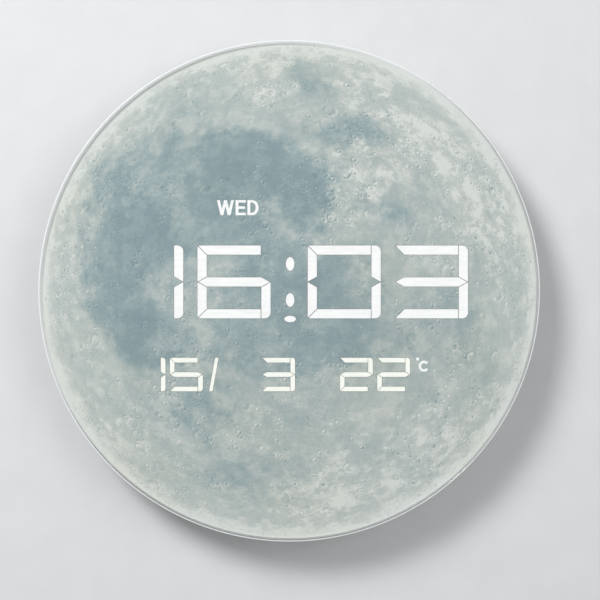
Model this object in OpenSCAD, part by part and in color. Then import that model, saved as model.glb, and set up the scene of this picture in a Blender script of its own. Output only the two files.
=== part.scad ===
// Round digital wall clock: a frameless glass disc over a printed film, light segments behind
// the film, and a shallow round housing that hangs on one wall screw.
// X runs to the right, Z runs up, the face looks along -Y, and the wall is the plane Y = 0.
// Every piece is drawn lying on its back, with the wall at height 0, and is then set upright.

/* [Glass] */
// Diameter of the glass disc
glass_d = 400; // [384:1:460]
// Thickness of the glass disc
glass_t = 4; // [3:0.5:6]
// Width of the polished bevel round the front edge
bevel_w = 2.2; // [0.5:0.1:5]
// Depth of the polished bevel round the front edge
bevel_h = 1.4; // [0.5:0.1:2]
// Small chamfer round the back edge of the glass
arris = 0.4; // [0.1:0.1:0.8]

/* [Print] */
// Thickness of the printed film
print_t = 0.25; // [0.15:0.05:0.5]
// Clear glue between the film and the glass
glue_t = 0.1; // [0.05:0.05:0.3]
// Border of clear glass outside the film
print_border = 2.4; // [1:0.1:6]

/* [Time digits] */
// Width of a time digit
time_w = 58.2; // [52:0.1:60]
// Height of a time digit
time_h = 58.1; // [50:0.1:62]
// Thickness of a bar of a time digit
time_bar_t = 7.2; // [5:0.1:9]
// Gap between the bars of a time digit
time_gap = 0.7; // [0.5:0.1:1.2]
// Radius of the right corners of a time digit
time_corner_r = 4.6; // [1:0.1:5]
// Chamfer on the left corners of a time digit
time_cut = 1.4; // [1:0.1:3]
// Space between the two digits of a pair
time_space = 11.5; // [9:0.1:13]
// Space between the hours and the minutes
colon_space = 29.8; // [24:0.1:32]
// Height of the middle of the time row above the disc's centre
time_y = 7.1; // [4:0.1:10]
// Width of a colon dot
dot_w = 6.7; // [4:0.1:8]
// Height of a colon dot
dot_h = 10.8; // [8:0.1:12]
// Distance of a colon dot from the middle of the row
dot_rise = 14.4; // [10:0.1:16]
// Offset of the colon to the right of the centre
colon_x = 0.8; // [0:0.1:2]
// Width of the flat dot under the colon
low_dot_w = 9.2; // [6:0.1:11]
// Height of the flat dot under the colon
low_dot_h = 5; // [4:0.1:6]
// Distance of the flat dot below the middle of the row
low_dot_drop = 29.6; // [28:0.1:31]

/* [Small digits] */
// Width of a small digit
small_w = 26.2; // [23:0.1:27]
// Height of a small digit
small_h = 26.6; // [22:0.1:29]
// Thickness of a bar of a small digit
small_bar_t = 3.6; // [3:0.1:4.4]
// Gap between the bars of a small digit
small_gap = 0.5; // [0.4:0.1:0.8]
// Radius of the right corners of a small digit
small_corner_r = 2.2; // [0.6:0.1:2.8]
// Chamfer on the left corners of a small digit
small_cut = 0.9; // [0.7:0.1:1.5]
// Space between the two digits of a pair
small_space = 3.6; // [3:0.1:5]
// Height of the middle of the small row below the disc's centre
small_drop = 66.9; // [60:0.1:68]
// Middle of the day digits, left of the centre
day_x = 97; // [92:0.1:99]
// Middle of the month digits, left of the centre
month_x = 23.3; // [20:0.1:26]
// Middle of the temperature digits, right of the centre
temperature_x = 68.6; // [62:0.1:74]
// Thickness of the bar between day and month
slash_t = 2.6; // [2.2:0.1:4]
// Lean of that bar over its height
slash_lean = 4.8; // [2:0.1:7]

/* [Legends] */
// Width of a weekday window
weekday_w = 34; // [30:0.5:36]
// Height of a weekday window
weekday_h = 13; // [10:0.5:14]
// Distance from one weekday window to the next
weekday_pitch = 41; // [39.5:0.5:42]
// Height of the weekday row above the disc's centre
weekday_y = 66.4; // [60:0.1:70]
// Width of the unit window beside the temperature
unit_w = 13; // [11:0.5:15]
// Height of the unit window
unit_h = 13; // [11:0.5:15]
// Space between the temperature digits and the unit window
unit_space = 3.2; // [3:0.1:5]

/* [Shown reading] */
// Hour on the display
shown_hour = 16; // [0:1:23]
// Minute on the display
shown_minute = 3; // [0:1:59]
// Day of the month on the display
shown_day = 15; // [1:1:31]
// Month on the display
shown_month = 3; // [1:1:12]
// Temperature on the display
shown_temperature = 22; // [0:1:50]

/* [Segment frame] */
// Depth of the segment frame
frame_h = 10; // [8:0.5:12]
// Thickness of the front plate of the frame
frame_plate_t = 4.2; // [4:0.1:5]
// Thickness of a light guide in its pocket
guide_t = 3; // [2:0.1:3.4]
// Width of the ledge that carries a light guide
ledge_w = 0.7; // [0.4:0.1:0.9]
// Wall round a light well
skirt_t = 1.3; // [0.8:0.1:1.4]
// Wall round the edge of the frame
frame_rim_t = 1.6; // [1.2:0.1:2.4]
// Border of the frame above and below the display
frame_border = 6; // [4:0.5:8]
// Air gap between the frame and the film
frame_gap = 0.3; // [0.1:0.1:0.6]
// Diameter of a screw boss of the frame
frame_boss_d = 6; // [5:0.1:7]
// Distance of the outer frame screws from the middle
frame_screw_x = 110; // [100:1:116]

/* [Lights] */
// Length of a large LED
led_l = 3.5; // [3:0.1:4]
// Width of a large LED
led_w = 2.8; // [2:0.1:3]
// Height of a large LED
led_h = 1.9; // [1:0.1:2.5]
// Distance of a large LED from the middle of a level bar or of a weekday window
led_spread = 7; // [4:0.5:10]
// Space between a large LED and the inner corner of an upright bar
led_end_gap = 0.2; // [0.1:0.1:2]
// Length of a small LED
small_led_l = 1.6; // [1.2:0.1:2]
// Width of a small LED
small_led_w = 0.8; // [0.6:0.1:1.2]
// Height of a small LED
small_led_h = 0.8; // [0.6:0.1:1.2]

/* [Board] */
// Thickness of the display board
board_t = 1.6; // [1:0.1:2]
// Border of the board above and below the frame
board_border = 2.5; // [1:0.5:4]
// Space between the board and the housing wall
board_clear = 1.6; // [1:0.1:2.5]
// Angle from the middle line to the outer board screws
board_screw_angle = 24; // [18:1:26]
// Length of a chip body
chip_l = 15.4; // [12:0.1:18]
// Width of a chip body
chip_w = 7.5; // [6:0.1:8.5]
// Height of a chip body
chip_h = 2.4; // [1.6:0.1:3]
// Diameter of a capacitor
capacitor_d = 8; // [6:0.5:10]
// Height of a capacitor
capacitor_h = 11; // [8:0.5:12]

/* [Housing] */
// Depth of the whole clock, from the wall to the glass
overall_depth = 38; // [36:0.5:46]
// Wall of the housing
wall_t = 2.4; // [2:0.1:3]
// Width of the front flange
flange_w = 15.5; // [14.5:0.5:18]
// Thickness of the front flange
flange_t = 2.5; // [2:0.1:3]
// Thickness of the bonding tape
tape_t = 1; // [0.5:0.1:1.5]
// Distance of the tape from both edges of the flange
tape_inset = 1; // [0.5:0.1:2]
// Rounding of the front edge of the housing ring
ring_edge_r = 0.8; // [0.3:0.1:1]
// Space between the segment frame and the flange
frame_clear = 1; // [0.5:0.1:2]
// Diameter of a boss for a cover screw
boss_d = 8; // [7:0.1:8.5]
// Diameter of a boss for a board screw
board_boss_d = 7; // [6:0.1:7.5]
// Thickness of a rib between a boss and the wall
rib_t = 1.6; // [1.2:0.1:2.4]

/* [Rear cover] */
// Height of the rear cover
cover_h = 12; // [11:0.5:14]
// Rounding of the back edge
cover_edge_r = 8; // [4:0.5:9]
// Thickness of the lip inside the ring
lip_t = 1.6; // [1.2:0.1:2]
// Height of the lip inside the ring
lip_h = 3; // [2:0.5:4]
// Depth of a screw well
screw_well = 6; // [4:0.5:8]
// Height of the ribs inside the cover
cover_rib_h = 3; // [1.5:0.1:3]
// Number of straight ribs inside the cover
cover_rib_count = 12; // [6:1:18]
// Width of a vent slot
vent_w = 3; // [2:0.1:4]
// Length of a vent slot
vent_l = 22; // [14:1:26]
// Distance from one vent slot to the next
vent_pitch = 8; // [6:0.5:9]
// Number of upper vent slots
vent_count = 9; // [5:1:11]
// Height of the upper vents above the centre
vent_y = 58; // [50:1:70]
// Number of lower vent slots
low_vent_count = 5; // [3:1:7]
// Distance of the lower vents below the centre
low_vent_drop = 118; // [110:1:130]

/* [Power inlet] */
// Angle of the power inlet below the horizontal, at the right
jack_angle = 44; // [42:1:75]
// Diameter of the threaded bush
jack_bush_d = 8; // [7.6:0.1:9]
// Diameter of the outer rim
jack_rim_d = 11; // [10:0.1:13]
// Thickness of the outer rim
jack_rim_t = 1.4; // [1:0.1:2]
// Bore for the plug
jack_bore_d = 5.6; // [5.5:0.1:6.4]
// Depth of that bore
jack_bore_l = 9.5; // [8:0.5:11]
// Diameter of the centre pin
jack_pin_d = 2.1; // [2:0.1:2.5]
// Pad inside the wall under the nut
jack_pad_t = 5; // [4:0.1:6]
// Width of that pad
jack_pad_w = 18; // [15:0.5:22]
// Depth of the flat seat under the rim
jack_seat = 0.8; // [0.4:0.1:1.2]
// Width of the nut across its flats
nut_w = 11; // [10:0.1:12]
// Thickness of the nut
nut_t = 2.2; // [1.8:0.1:3]
// Diameter of an inner lead
lead_d = 1.4; // [1:0.1:1.8]

/* [Buttons] */
// Diameter of a button
button_d = 9; // [7:0.1:10]
// How far a button stands out of its recess
button_proud = 2; // [1:0.1:2.4]
// Rounding of the outer edge of a button
button_edge_r = 1; // [0.4:0.1:1.5]
// Diameter of the collar that keeps a button in
button_collar_d = 12; // [11:0.1:13]
// Thickness of that collar
button_collar_t = 1; // [0.8:0.1:1.5]
// Diameter of the stem of a button
button_stem_d = 5; // [4:0.1:6]
// Travel of a button
button_travel = 0.5; // [0.3:0.1:0.8]
// Distance from one button to the next
button_pitch = 16; // [14:0.5:20]
// Buttons, right of the centre
button_x = 118; // [105:1:120]
// Width of the recess round the buttons
recess_w = 17; // [15:0.5:20]
// Depth of the recess round the buttons
recess_depth = 3; // [2.5:0.1:4]
// Side of a switch body
switch_w = 6; // [5.5:0.1:7]
// Height of a switch body
switch_h = 3.5; // [3:0.1:4.5]
// Diameter of a switch plunger
plunger_d = 3.4; // [2.5:0.1:3.6]
// Length of the plunger inside the switch
plunger_in = 0.8; // [0.5:0.1:1]
// Length of the plunger outside the switch
plunger_out = 3; // [2:0.1:4]

/* [Backup cell] */
// Diameter of the coin cell
cell_d = 20; // [16:0.5:20]
// Thickness of the coin cell
cell_t = 3.2; // [1.6:0.1:3.2]
// Battery bay, left of the centre
bay_x = 78; // [70:1:90]
// Length of the battery door
door_l = 34; // [32:0.5:38]
// Width of the battery door
door_w = 27; // [26:0.5:30]
// Thickness of the battery door
door_t = 2; // [1.8:0.1:2.4]
// Rounding of the corners of the battery door
door_corner_r = 2.5; // [1:0.1:3]
// Distance of the door below the back face
door_inset = 0.3; // [0.1:0.1:0.5]
// Slide of the battery door
door_travel = 13; // [12.5:0.5:16]
// Length of the catches over the door's tongues
catch_l = 12; // [8:0.5:12]
// Width of the catches
catch_w = 1.5; // [1:0.1:2]
// Thickness of the catches
catch_t = 1.1; // [0.8:0.1:1.2]
// Thickness of a contact spring
contact_t = 0.4; // [0.3:0.1:0.6]
// Height of the contact spring under the cell
contact_rise = 1; // [0.8:0.1:1.5]
// Wall and floor round the battery bay
bay_wall = 1.6; // [1.2:0.1:2]

/* [Hanger] */
// Height of the middle of the hanger plate above the disc's centre
hanger_y = 116; // [112:1:122]
// Width of the steel hanger plate
hanger_w = 48; // [44:1:54]
// Height of the steel hanger plate
hanger_h = 36; // [34:1:40]
// Thickness of the hanger plate
hanger_t = 1.5; // [1:0.1:2]
// Rounding of the corners of the hanger plate
hanger_corner_r = 4; // [1:0.5:6]
// Distance of the plate below the back face
hanger_inset = 0.2; // [0.1:0.1:0.5]
// Diameter of the keyhole where the screw head goes in
key_d = 10; // [9:0.1:11]
// Width of the keyhole's slot
key_slot_w = 5; // [4.6:0.1:5.5]
// Rise of the slot above the keyhole
key_rise = 12; // [10:0.5:14]
// Width of the pocket behind the plate
pocket_w = 20; // [16:0.5:24]
// Height of the pocket behind the plate
pocket_h = 28; // [26:0.5:30]
// Depth of the pocket behind the plate
pocket_depth = 7; // [6:0.5:8]

/* [Screws] */
// Shank of a cover, board or hanger screw
screw_d = 3; // [2.5:0.1:3.5]
// Head of such a screw
screw_head_d = 5.6; // [5:0.1:6]
// Height of a screw head
screw_head_t = 2; // [1.4:0.1:2.4]
// Length of a cover screw
cover_screw_l = 14; // [10:0.5:18]
// Length of a board screw
board_screw_l = 6; // [5:0.5:7]
// Length of a hanger screw
hanger_screw_l = 6; // [4:0.5:6.5]
// Depth of the sunk head of a hanger screw
sunk_head_t = 1.2; // [0.8:0.1:1.4]
// Shank of a frame screw
frame_screw_d = 2.3; // [2:0.1:2.6]
// Head of a frame screw
frame_screw_head_d = 4.2; // [4:0.1:5]
// Height of the head of a frame screw
frame_screw_head_t = 1.5; // [1.2:0.1:2]
// Length of a frame screw
frame_screw_l = 6; // [5:0.5:6.5]

/* [Fits] */
// Space round a piece that moves
move_clear = 0.3; // [0.2:0.05:0.4]
// Space round a light guide in its pocket and in the film
guide_clear = 0.1; // [0.05:0.01:0.12]
// Space round a piece that is set into another
seat_clear = 0.15; // [0.1:0.05:0.3]
// Space round a screw shank in a clearance hole
hole_clear = 0.2; // [0.1:0.05:0.3]
// Space round a screw shank in its pilot hole
thread_clear = 0.05; // [0.02:0.01:0.1]

/* [Hidden] */
$fn = 96;
over = 1;

// Heights above the wall, from the glass back to the board
glass_back = overall_depth - glass_t;
print_front = glass_back - glue_t;
print_back = print_front - print_t;
flange_front = print_back - tape_t;
flange_back = flange_front - flange_t;
frame_front = print_back - frame_gap;
frame_back = frame_front - frame_h;
ledge_top = frame_front - guide_t;
board_back = frame_back - board_t;

// Digits as width, height, bar, gap, corner radius and chamfer
time_digit = [time_w, time_h, time_bar_t, time_gap, time_corner_r, time_cut];
small_digit = [small_w, small_h, small_bar_t, small_gap, small_corner_r, small_cut];
bar_names = "abcdefg";
bar_slope = 29;
least_cut = 0.2;
bars_of = ["abcdef", "bc", "abdeg", "abcdg", "bcfg", "acdfg", "acdefg", "abc", "abcdefg", "abcdfg"];
blank = -1;

// Middles of the digits in each row
inner_x = (colon_space + time_w) / 2;
outer_x = inner_x + time_space + time_w;
small_step = (small_w + small_space) / 2;
small_y = -small_drop;
slash_x = -(day_x + month_x) / 2;
unit_x = temperature_x + small_step + small_w / 2 + unit_space + unit_w / 2;
unit_y = small_y + (small_h - unit_h) / 2;
weekday_count = 7;

function tens(n) = floor(n / 10);
function units(n) = n % 10;
function tens_or_blank(n) = n < 10 ? blank : tens(n);
time_row = [
    [-outer_x, tens(shown_hour)],
    [-inner_x, units(shown_hour)],
    [inner_x, tens(shown_minute)],
    [outer_x, units(shown_minute)]
];
date_row = [
    [-day_x - small_step, tens_or_blank(shown_day)],
    [-day_x + small_step, units(shown_day)],
    [-month_x - small_step, tens_or_blank(shown_month)],
    [-month_x + small_step, units(shown_month)]
];
temperature_row = [
    [temperature_x - small_step, tens_or_blank(shown_temperature)],
    [temperature_x + small_step, units(shown_temperature)]
];

// Outline of the frame, from the corners of the rows
weekday_half = (weekday_count - 1) / 2 * weekday_pitch + weekday_w / 2;
time_half = outer_x + time_w / 2;
date_half = day_x + small_step + small_w / 2;
display_r = max(
    norm([weekday_half, weekday_y + weekday_h / 2]),
    norm([time_half, time_y + time_h / 2]),
    norm([time_half, time_y - time_h / 2]),
    norm([date_half, small_y - small_h / 2])
);
frame_r = display_r + frame_rim_t;
frame_top = weekday_y + weekday_h / 2 + frame_border;
frame_bottom = small_y - small_h / 2 - frame_border;
upper_screw_y = (weekday_y - weekday_h / 2 + time_y + time_h / 2) / 2;
lower_screw_y = (time_y - time_h / 2 + small_y + small_h / 2) / 2;
frame_screw_places = [
    for (x = [-frame_screw_x, 0, frame_screw_x], y = [upper_screw_y, lower_screw_y]) [x, y]
];

// Radii of the housing, from the frame outwards
glass_r = glass_d / 2;
flange_in_r = frame_r + frame_clear;
housing_r = flange_in_r + flange_w;
housing_in_r = housing_r - wall_t;
board_r = housing_in_r - board_clear;
board_top = frame_top + board_border;
board_bottom = frame_bottom - board_border;
boss_circle_r = flange_in_r + boss_d / 2 + seat_clear;
side_boss_y = max(board_top, -board_bottom) + boss_d / 2 + board_clear;
side_boss_angle = asin(side_boss_y / boss_circle_r);
cover_screw_angles = [
    side_boss_angle, 90, 180 - side_boss_angle, 180 + side_boss_angle, 270, -side_boss_angle
];
board_screw_angles = [
    for (side = [0, 180], turn = [-1, 0, 1]) side + turn * board_screw_angle
];
rib_bottom = cover_h + lip_h + move_clear;
vent_reach = norm([(vent_count - 1) / 2 * vent_pitch + vent_w / 2, vent_y + vent_l / 2]);
ring_rib_r = vent_reach + rib_t;

// Battery bay, measured from the back face inwards
door_in = door_inset + door_t;
recess_floor = door_in + move_clear;
cell_outer = recess_floor + seat_clear;
cell_inner = cell_outer + cell_t;
bay_floor = cell_inner + contact_rise;
bay_back = bay_floor + bay_wall;
bay_y = 0;
finger_notch_d = 9;
pin_d = 1;
pin_out = 2.5;
contact_d = 8;
dimple_d = 4;
side_contact_w = 6;

// Hanger, measured from the back face inwards
hanger_in = hanger_inset + hanger_t;
pocket_floor = hanger_in + pocket_depth;
key_y = -key_rise / 2;
hanger_screw_x = (hanger_w + pocket_w) / 4;
hanger_screw_places = [[-hanger_screw_x, 0], [hanger_screw_x, 0]];
hanger_block_wall = 2.5;

// Buttons, measured from the back face inwards
button_places = [button_pitch, 0, -button_pitch];
button_out = recess_depth - button_proud;
panel_in = recess_depth + wall_t;
collar_out = panel_in + move_clear;
switch_face = board_back - switch_h;
stem_end = switch_face - plunger_out;
plunger_hole = plunger_in + button_travel + move_clear;

// Power inlet, measured outwards from the middle of the disc
jack_face = housing_r - jack_seat;
jack_pad_in = housing_r - jack_pad_t;
jack_end = jack_face + jack_rim_t - jack_bore_l;
jack_back_t = 2;
jack_height = (rib_bottom + flange_back) / 2;
lug_l = 4;
lug_w = 2;
lug_t = 0.5;
lug_y = 2.2;
jack_tail = jack_end - jack_back_t - lug_l;

// Small parts on the back of the board
controller_place = [-30, 12];
driver_places = [[30, 26], [30, -26]];
crystal_place = [-52, 12];
crystal_d = 3;
crystal_l = 8;
capacitor_places = [[58, -70], [72, -70]];
lead_pitch = 1.27;
lead_w = 0.5;
lead_foot = 1.4;
lead_t = 0.25;
header_l = 8;
header_w = 5;
header_h = 6;
power_header_place = [92, -78];
cell_header_place = [-92, 30];
wire_pitch = 2.5;
bend_swell = 1.05;
sensor_d = 3;
sensor_lead_d = 0.6;
sensor_y = -108;
sensor_height = 10;
sensor_spread = 2.5;

// Sets a piece that lies on its back upright against the wall
module upright() rotate([90, 0, 0]) children();

// Ring between two radii and two heights
module band(r_in, r_out, z0, z1) {
    translate([0, 0, z0]) difference() {
        cylinder(r = r_out, h = z1 - z0);
        translate([0, 0, -over]) cylinder(r = r_in, h = z1 - z0 + 2 * over);
    }
}

// Post between two heights
module post(d, z0, z1) translate([0, 0, z0]) cylinder(d = d, h = z1 - z0);

// Box centred in x and y between two heights
module block(size, z0, z1) {
    translate([-size[0] / 2, -size[1] / 2, z0]) cube([size[0], size[1], z1 - z0]);
}

// Round rod between two points
module rod(p, q, d) {
    v = q - p;
    translate(p) rotate([0, acos(v[2] / norm(v)), atan2(v[1], v[0])]) cylinder(d = d, h = norm(v));
}

// Bent wire through a few points, a little swollen at each bend
module wire(points, d) {
    for (i = [1 : len(points) - 1]) rod(points[i - 1], points[i], d);
    for (i = [1 : len(points) - 2]) translate(points[i]) sphere(d = d * bend_swell);
}

// Slot with round ends that runs along y
module slot_2d(l, w) {
    square([w, l - w], center = true);
    for (s = [-1, 1]) translate([0, s * (l - w) / 2]) circle(d = w);
}

// Rectangle with round corners, centred
module rounded_square(size, r) {
    square([size[0] - 2 * r, size[1]], center = true);
    square([size[0], size[1] - 2 * r], center = true);
    for (x = [-1, 1], y = [-1, 1])
        translate([x * (size[0] / 2 - r), y * (size[1] / 2 - r)]) circle(r = r);
}

// Block with round corners, centred in x and y between two heights
module rounded_block(size, r, z0, z1) {
    translate([0, 0, z0]) linear_extrude(z1 - z0) rounded_square(size, r);
}

// Half profile of a round piece whose lower outer edge is rounded
module rounded_profile(r, h, edge) {
    square([r - edge, h]);
    translate([0, edge]) square([r, h - edge]);
    translate([r - edge, edge]) intersection() {
        circle(r = edge);
        translate([0, -edge]) square(edge);
    }
}

// Screw with a domed head below the seat and its shank above it
module screw(d, head_d, head_t, l) {
    cylinder(d = d, h = l);
    translate([0, 0, -head_t]) rotate_extrude() rounded_profile(head_d / 2, head_t, head_t / 2);
}

// Screw with a sunk head, flush with its lower end
module sunk_screw(d, head_d, head_t, l) {
    cylinder(d1 = head_d, d2 = d, h = head_t);
    cylinder(d = d, h = l);
}

// Copies at given angles on a circle
module on_circle(r, angles) for (a = angles) rotate(a) translate([r, 0]) children();

// Copies at given places
module at_places(places) for (p = places) translate([p[0], p[1], 0]) children();

// Outlines of the bars of one digit about its middle, made larger by e on every side.
// A bar that is made smaller keeps a least chamfer where its mitre eats the full one.
function mitre(d) = d[3] / sqrt(2);
function chamfer(d, e) = max(d[5], mitre(d) - 2 * e + least_cut);
function mid_end(d, u, e) = d[3] / 2 + u * tan(bar_slope) - e / cos(bar_slope);
function top_bar(d, e) = let (
    w = d[0] / 2, h = d[1] / 2, t = d[2], k = mitre(d), c = chamfer(d, e), q = e * (sqrt(2) - 1)
) [
    [c - w - q, h + e],
    [w - t - d[3] + e, h + e],
    [w - t - d[3] + e, h - t - e],
    [t + k - w - q, h - t - e],
    [(c + k) / 2 - w - e * sqrt(2), h - (c - k) / 2]
];
function left_bar(d, e) = let (
    w = d[0] / 2, h = d[1] / 2, t = d[2], k = mitre(d), c = chamfer(d, e), q = e * (sqrt(2) - 1)
) [
    [-w - e, h - c + q],
    [(c - k) / 2 - w, h - (c + k) / 2 + e * sqrt(2)],
    [t + e - w, h - t - k + q],
    [t + e - w, mid_end(d, t + e, e)],
    [-w - e, mid_end(d, -e, e)]
];
function right_bar(d, e) = let (w = d[0] / 2, h = d[1] / 2, t = d[2]) [
    [w - t - e, h + e],
    [w + e, h + e],
    [w + e, mid_end(d, -e, e)],
    [w - t - e, mid_end(d, t + e, e)]
];
function middle_bar(d, e) = let (
    w = d[0] / 2,
    h = d[2] / 2 + e,
    tip = ((d[3] - e) / cos(bar_slope) - d[3] / 2) / tan(bar_slope),
    shoulder = tip + h / tan(bar_slope)
) [
    [tip - w, 0],
    [shoulder - w, h],
    [w - shoulder, h],
    [w - tip, 0],
    [w - shoulder, -h],
    [shoulder - w, -h]
];

// Field of a digit with its right corners rounded
module digit_field(d, e) {
    w = d[0] / 2 + e;
    h = d[1] / 2 + e;
    r = max(d[4] + e, over / 10);
    translate([-w, -h]) square([2 * w - r, 2 * h]);
    translate([0, r - h]) square([w, 2 * (h - r)]);
    for (s = [-1, 1]) translate([w - r, s * (h - r)]) circle(r = r);
}

// One bar of a digit, by its letter
module bar(name, d, e = 0) {
    low = name == "c" || name == "d" || name == "e";
    mirror([0, low ? 1 : 0]) {
        if (name == "a" || name == "d") polygon(top_bar(d, e));
        if (name == "e" || name == "f") polygon(left_bar(d, e));
        if (name == "g") polygon(middle_bar(d, e));
        if (name == "b" || name == "c") intersection() {
            polygon(right_bar(d, e));
            digit_field(d, e);
        }
    }
}

// Middle of a bar, and whether it lies flat
function bar_middle(name, d) = let (
    x = (d[0] - d[2]) / 2,
    y = (d[1] - d[2]) / 2,
    side_y = d[1] / 4 - d[2] * (1 - tan(bar_slope)) / 2
) (
    name == "a" ? [0, y] : name == "d" ? [0, -y] : name == "g" ? [0, 0] :
    name == "b" ? [x, side_y] : name == "c" ? [x, -side_y] :
    name == "e" ? [-x, -side_y] : [-x, side_y]
);
function inner_edge(d) = d[1] / 2 - d[2] * (1 + tan(bar_slope));
upright_spread = (inner_edge(time_digit) - led_l) / 2 - led_end_gap;
function lies_flat(name) = name == "a" || name == "d" || name == "g";
function is_lit(name, value) = value == blank ? false : len(search(name, bars_of[value])) > 0;

// Bars of a row of digits: the lit ones, the unlit ones or both
module row_bars(row, d, y, lit, unlit, e) {
    for (cell = row, name = bar_names) if (is_lit(name, cell[1]) ? lit : unlit) {
        translate([cell[0], y]) bar(name, d, e);
    }
}

// Oval dot
module oval(w, h, e) scale([1, (h + 2 * e) / (w + 2 * e)]) circle(d = w + 2 * e);

// Two upright dots of the colon and the flat dot under them
module colon_dots(e = 0) {
    for (s = [-1, 1]) translate([colon_x, time_y + s * dot_rise]) oval(dot_w, dot_h, e);
    translate([colon_x, time_y - low_dot_drop]) oval(low_dot_w, low_dot_h, e);
}

// Leaning bar between day and month
module slash(e = 0) {
    h = small_h / 2 + e;
    t = slash_t / 2 + e;
    lean = slash_lean / small_h * h;
    translate([slash_x, small_y]) polygon([
        [-lean - t, -h], [t - lean, -h], [lean + t, h], [lean - t, h]
    ]);
}

module time_bars(lit, unlit, e = 0) row_bars(time_row, time_digit, time_y, lit, unlit, e);
module date_bars(lit, unlit, e = 0) row_bars(date_row, small_digit, small_y, lit, unlit, e);
module temperature_bars(lit, unlit, e = 0) {
    row_bars(temperature_row, small_digit, small_y, lit, unlit, e);
}

// Windows of the weekdays and of the unit
module weekday_windows(e = 0) {
    for (i = [0 : weekday_count - 1]) {
        translate([(i - (weekday_count - 1) / 2) * weekday_pitch, weekday_y])
            square([weekday_w + 2 * e, weekday_h + 2 * e], center = true);
    }
}
module unit_window(e = 0) {
    translate([unit_x, unit_y]) square([unit_w + 2 * e, unit_h + 2 * e], center = true);
}

// Every light cell of the display
module every_cell(e) {
    time_bars(true, true, e);
    date_bars(true, true, e);
    temperature_bars(true, true, e);
    colon_dots(e);
    slash(e);
    weekday_windows(e);
    unit_window(e);
}

// Outlines of the frame and of the board: a disc cut flat above and below
module flat_disc(r, low, high) {
    intersection() {
        circle(r = r);
        translate([-r, low]) square([2 * r, high - low]);
    }
}
module frame_outline(inset = 0) {
    flat_disc(frame_r - inset, frame_bottom + inset, frame_top - inset);
}

// Light guides that reach through the film, and those that end behind it
module guide_through() {
    upright() translate([0, 0, ledge_top]) linear_extrude(print_front - ledge_top) children();
}
module guide_behind() {
    upright() translate([0, 0, ledge_top]) linear_extrude(guide_t) children();
}

module glass_disc() {
    color([0.8, 0.88, 0.88, 0.4]) upright() rotate_extrude() polygon([
        [0, glass_back],
        [glass_r - arris, glass_back],
        [glass_r, glass_back + arris],
        [glass_r, overall_depth - bevel_h],
        [glass_r - bevel_w, overall_depth],
        [0, overall_depth]
    ]);
}

module moon_print() {
    color([0.6, 0.65, 0.66]) upright() translate([0, 0, print_back]) linear_extrude(print_t) {
        difference() {
            circle(r = glass_r - print_border);
            time_bars(true, false, guide_clear);
            date_bars(true, false, guide_clear);
            temperature_bars(true, false, guide_clear);
            colon_dots(guide_clear);
            slash(guide_clear);
        }
    }
}

module bonding_tape() {
    color("white") upright()
        band(flange_in_r + tape_inset, housing_r - tape_inset, flange_front, print_back);
}

// Side wall and flange of the ring as one turned profile
module ring_shell() {
    translate([0, 0, flange_front]) mirror([0, 0, 1]) rotate_extrude() difference() {
        rounded_profile(housing_r, flange_front - cover_h, ring_edge_r);
        translate([0, flange_t]) square([housing_in_r, flange_front]);
        translate([0, -over]) square([flange_in_r, flange_front]);
    }
}

// Rib from a boss to the side wall
module boss_rib() {
    l = housing_in_r + wall_t / 2 - boss_circle_r;
    translate([0, -rib_t / 2, rib_bottom]) cube([l, rib_t, flange_back + flange_t / 2 - rib_bottom]);
}

module housing_ring() {
    color([0.09, 0.09, 0.1]) upright() difference() {
        union() {
            ring_shell();
            on_circle(boss_circle_r, cover_screw_angles) {
                post(boss_d, cover_h, flange_back + flange_t / 2);
                boss_rib();
            }
            on_circle(boss_circle_r, board_screw_angles)
                post(board_boss_d, frame_back, flange_back + flange_t / 2);
            rotate(-jack_angle) translate([jack_pad_in, -jack_pad_w / 2, rib_bottom])
                cube([jack_pad_t - wall_t / 2, jack_pad_w, flange_back + flange_t / 2 - rib_bottom]);
        }
        on_circle(boss_circle_r, cover_screw_angles)
            post(screw_d + 2 * thread_clear, cover_h - over, screw_well + cover_screw_l + over);
        on_circle(boss_circle_r, board_screw_angles)
            post(screw_d + 2 * thread_clear, frame_back - over, board_back + board_screw_l + over);
        rotate(-jack_angle) translate([0, 0, jack_height]) rotate([0, 90, 0]) {
            post(jack_bush_d + 2 * seat_clear, jack_pad_in - over, housing_r + over);
            post(jack_rim_d + 2 * seat_clear, jack_face, housing_r + over);
        }
    }
}

// Cut for the battery door, with the two catches left standing
module door_recess() {
    l = door_l + door_travel + 2 * move_clear;
    w = door_w + 2 * move_clear;
    right = door_l / 2 + move_clear;
    difference() {
        translate([right - l / 2, 0]) rounded_block([l, w], door_corner_r + move_clear, -over, recess_floor);
        for (s = [-1, 1]) translate([right - catch_l, s * w / 2 - catch_w, 0])
            cube([catch_l + over, 2 * catch_w, catch_t]);
    }
}

// Cell pocket with a finger notch, a side contact slot and two pin holes
module cell_pocket() {
    post(cell_d + 2 * seat_clear, 0, bay_floor);
    translate([-cell_d / 2, 0]) post(finger_notch_d, 0, cell_inner);
    translate([0, cell_d / 2]) block([side_contact_w + 2 * seat_clear, contact_room], 0, bay_floor);
    post(pin_d + 2 * seat_clear, 0, bay_back + over);
    translate([0, side_contact_y]) post(pin_d + 2 * seat_clear, 0, bay_back + over);
}
contact_room = 2 * (contact_t + pin_d + 3 * seat_clear);
side_contact_y = cell_d / 2 + contact_t + seat_clear + pin_d / 2;

module dish() {
    rotate_extrude() difference() {
        rounded_profile(housing_r, cover_h, cover_edge_r);
        translate([0, wall_t]) rounded_profile(housing_in_r, cover_h, cover_edge_r - wall_t);
    }
    lip_r = housing_in_r - seat_clear;
    band(lip_r - lip_t, lip_r, wall_t + cover_edge_r, cover_h + lip_h);
    band(lip_r - lip_t, housing_in_r + wall_t / 2, wall_t + cover_edge_r - over, cover_h);
}

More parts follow.
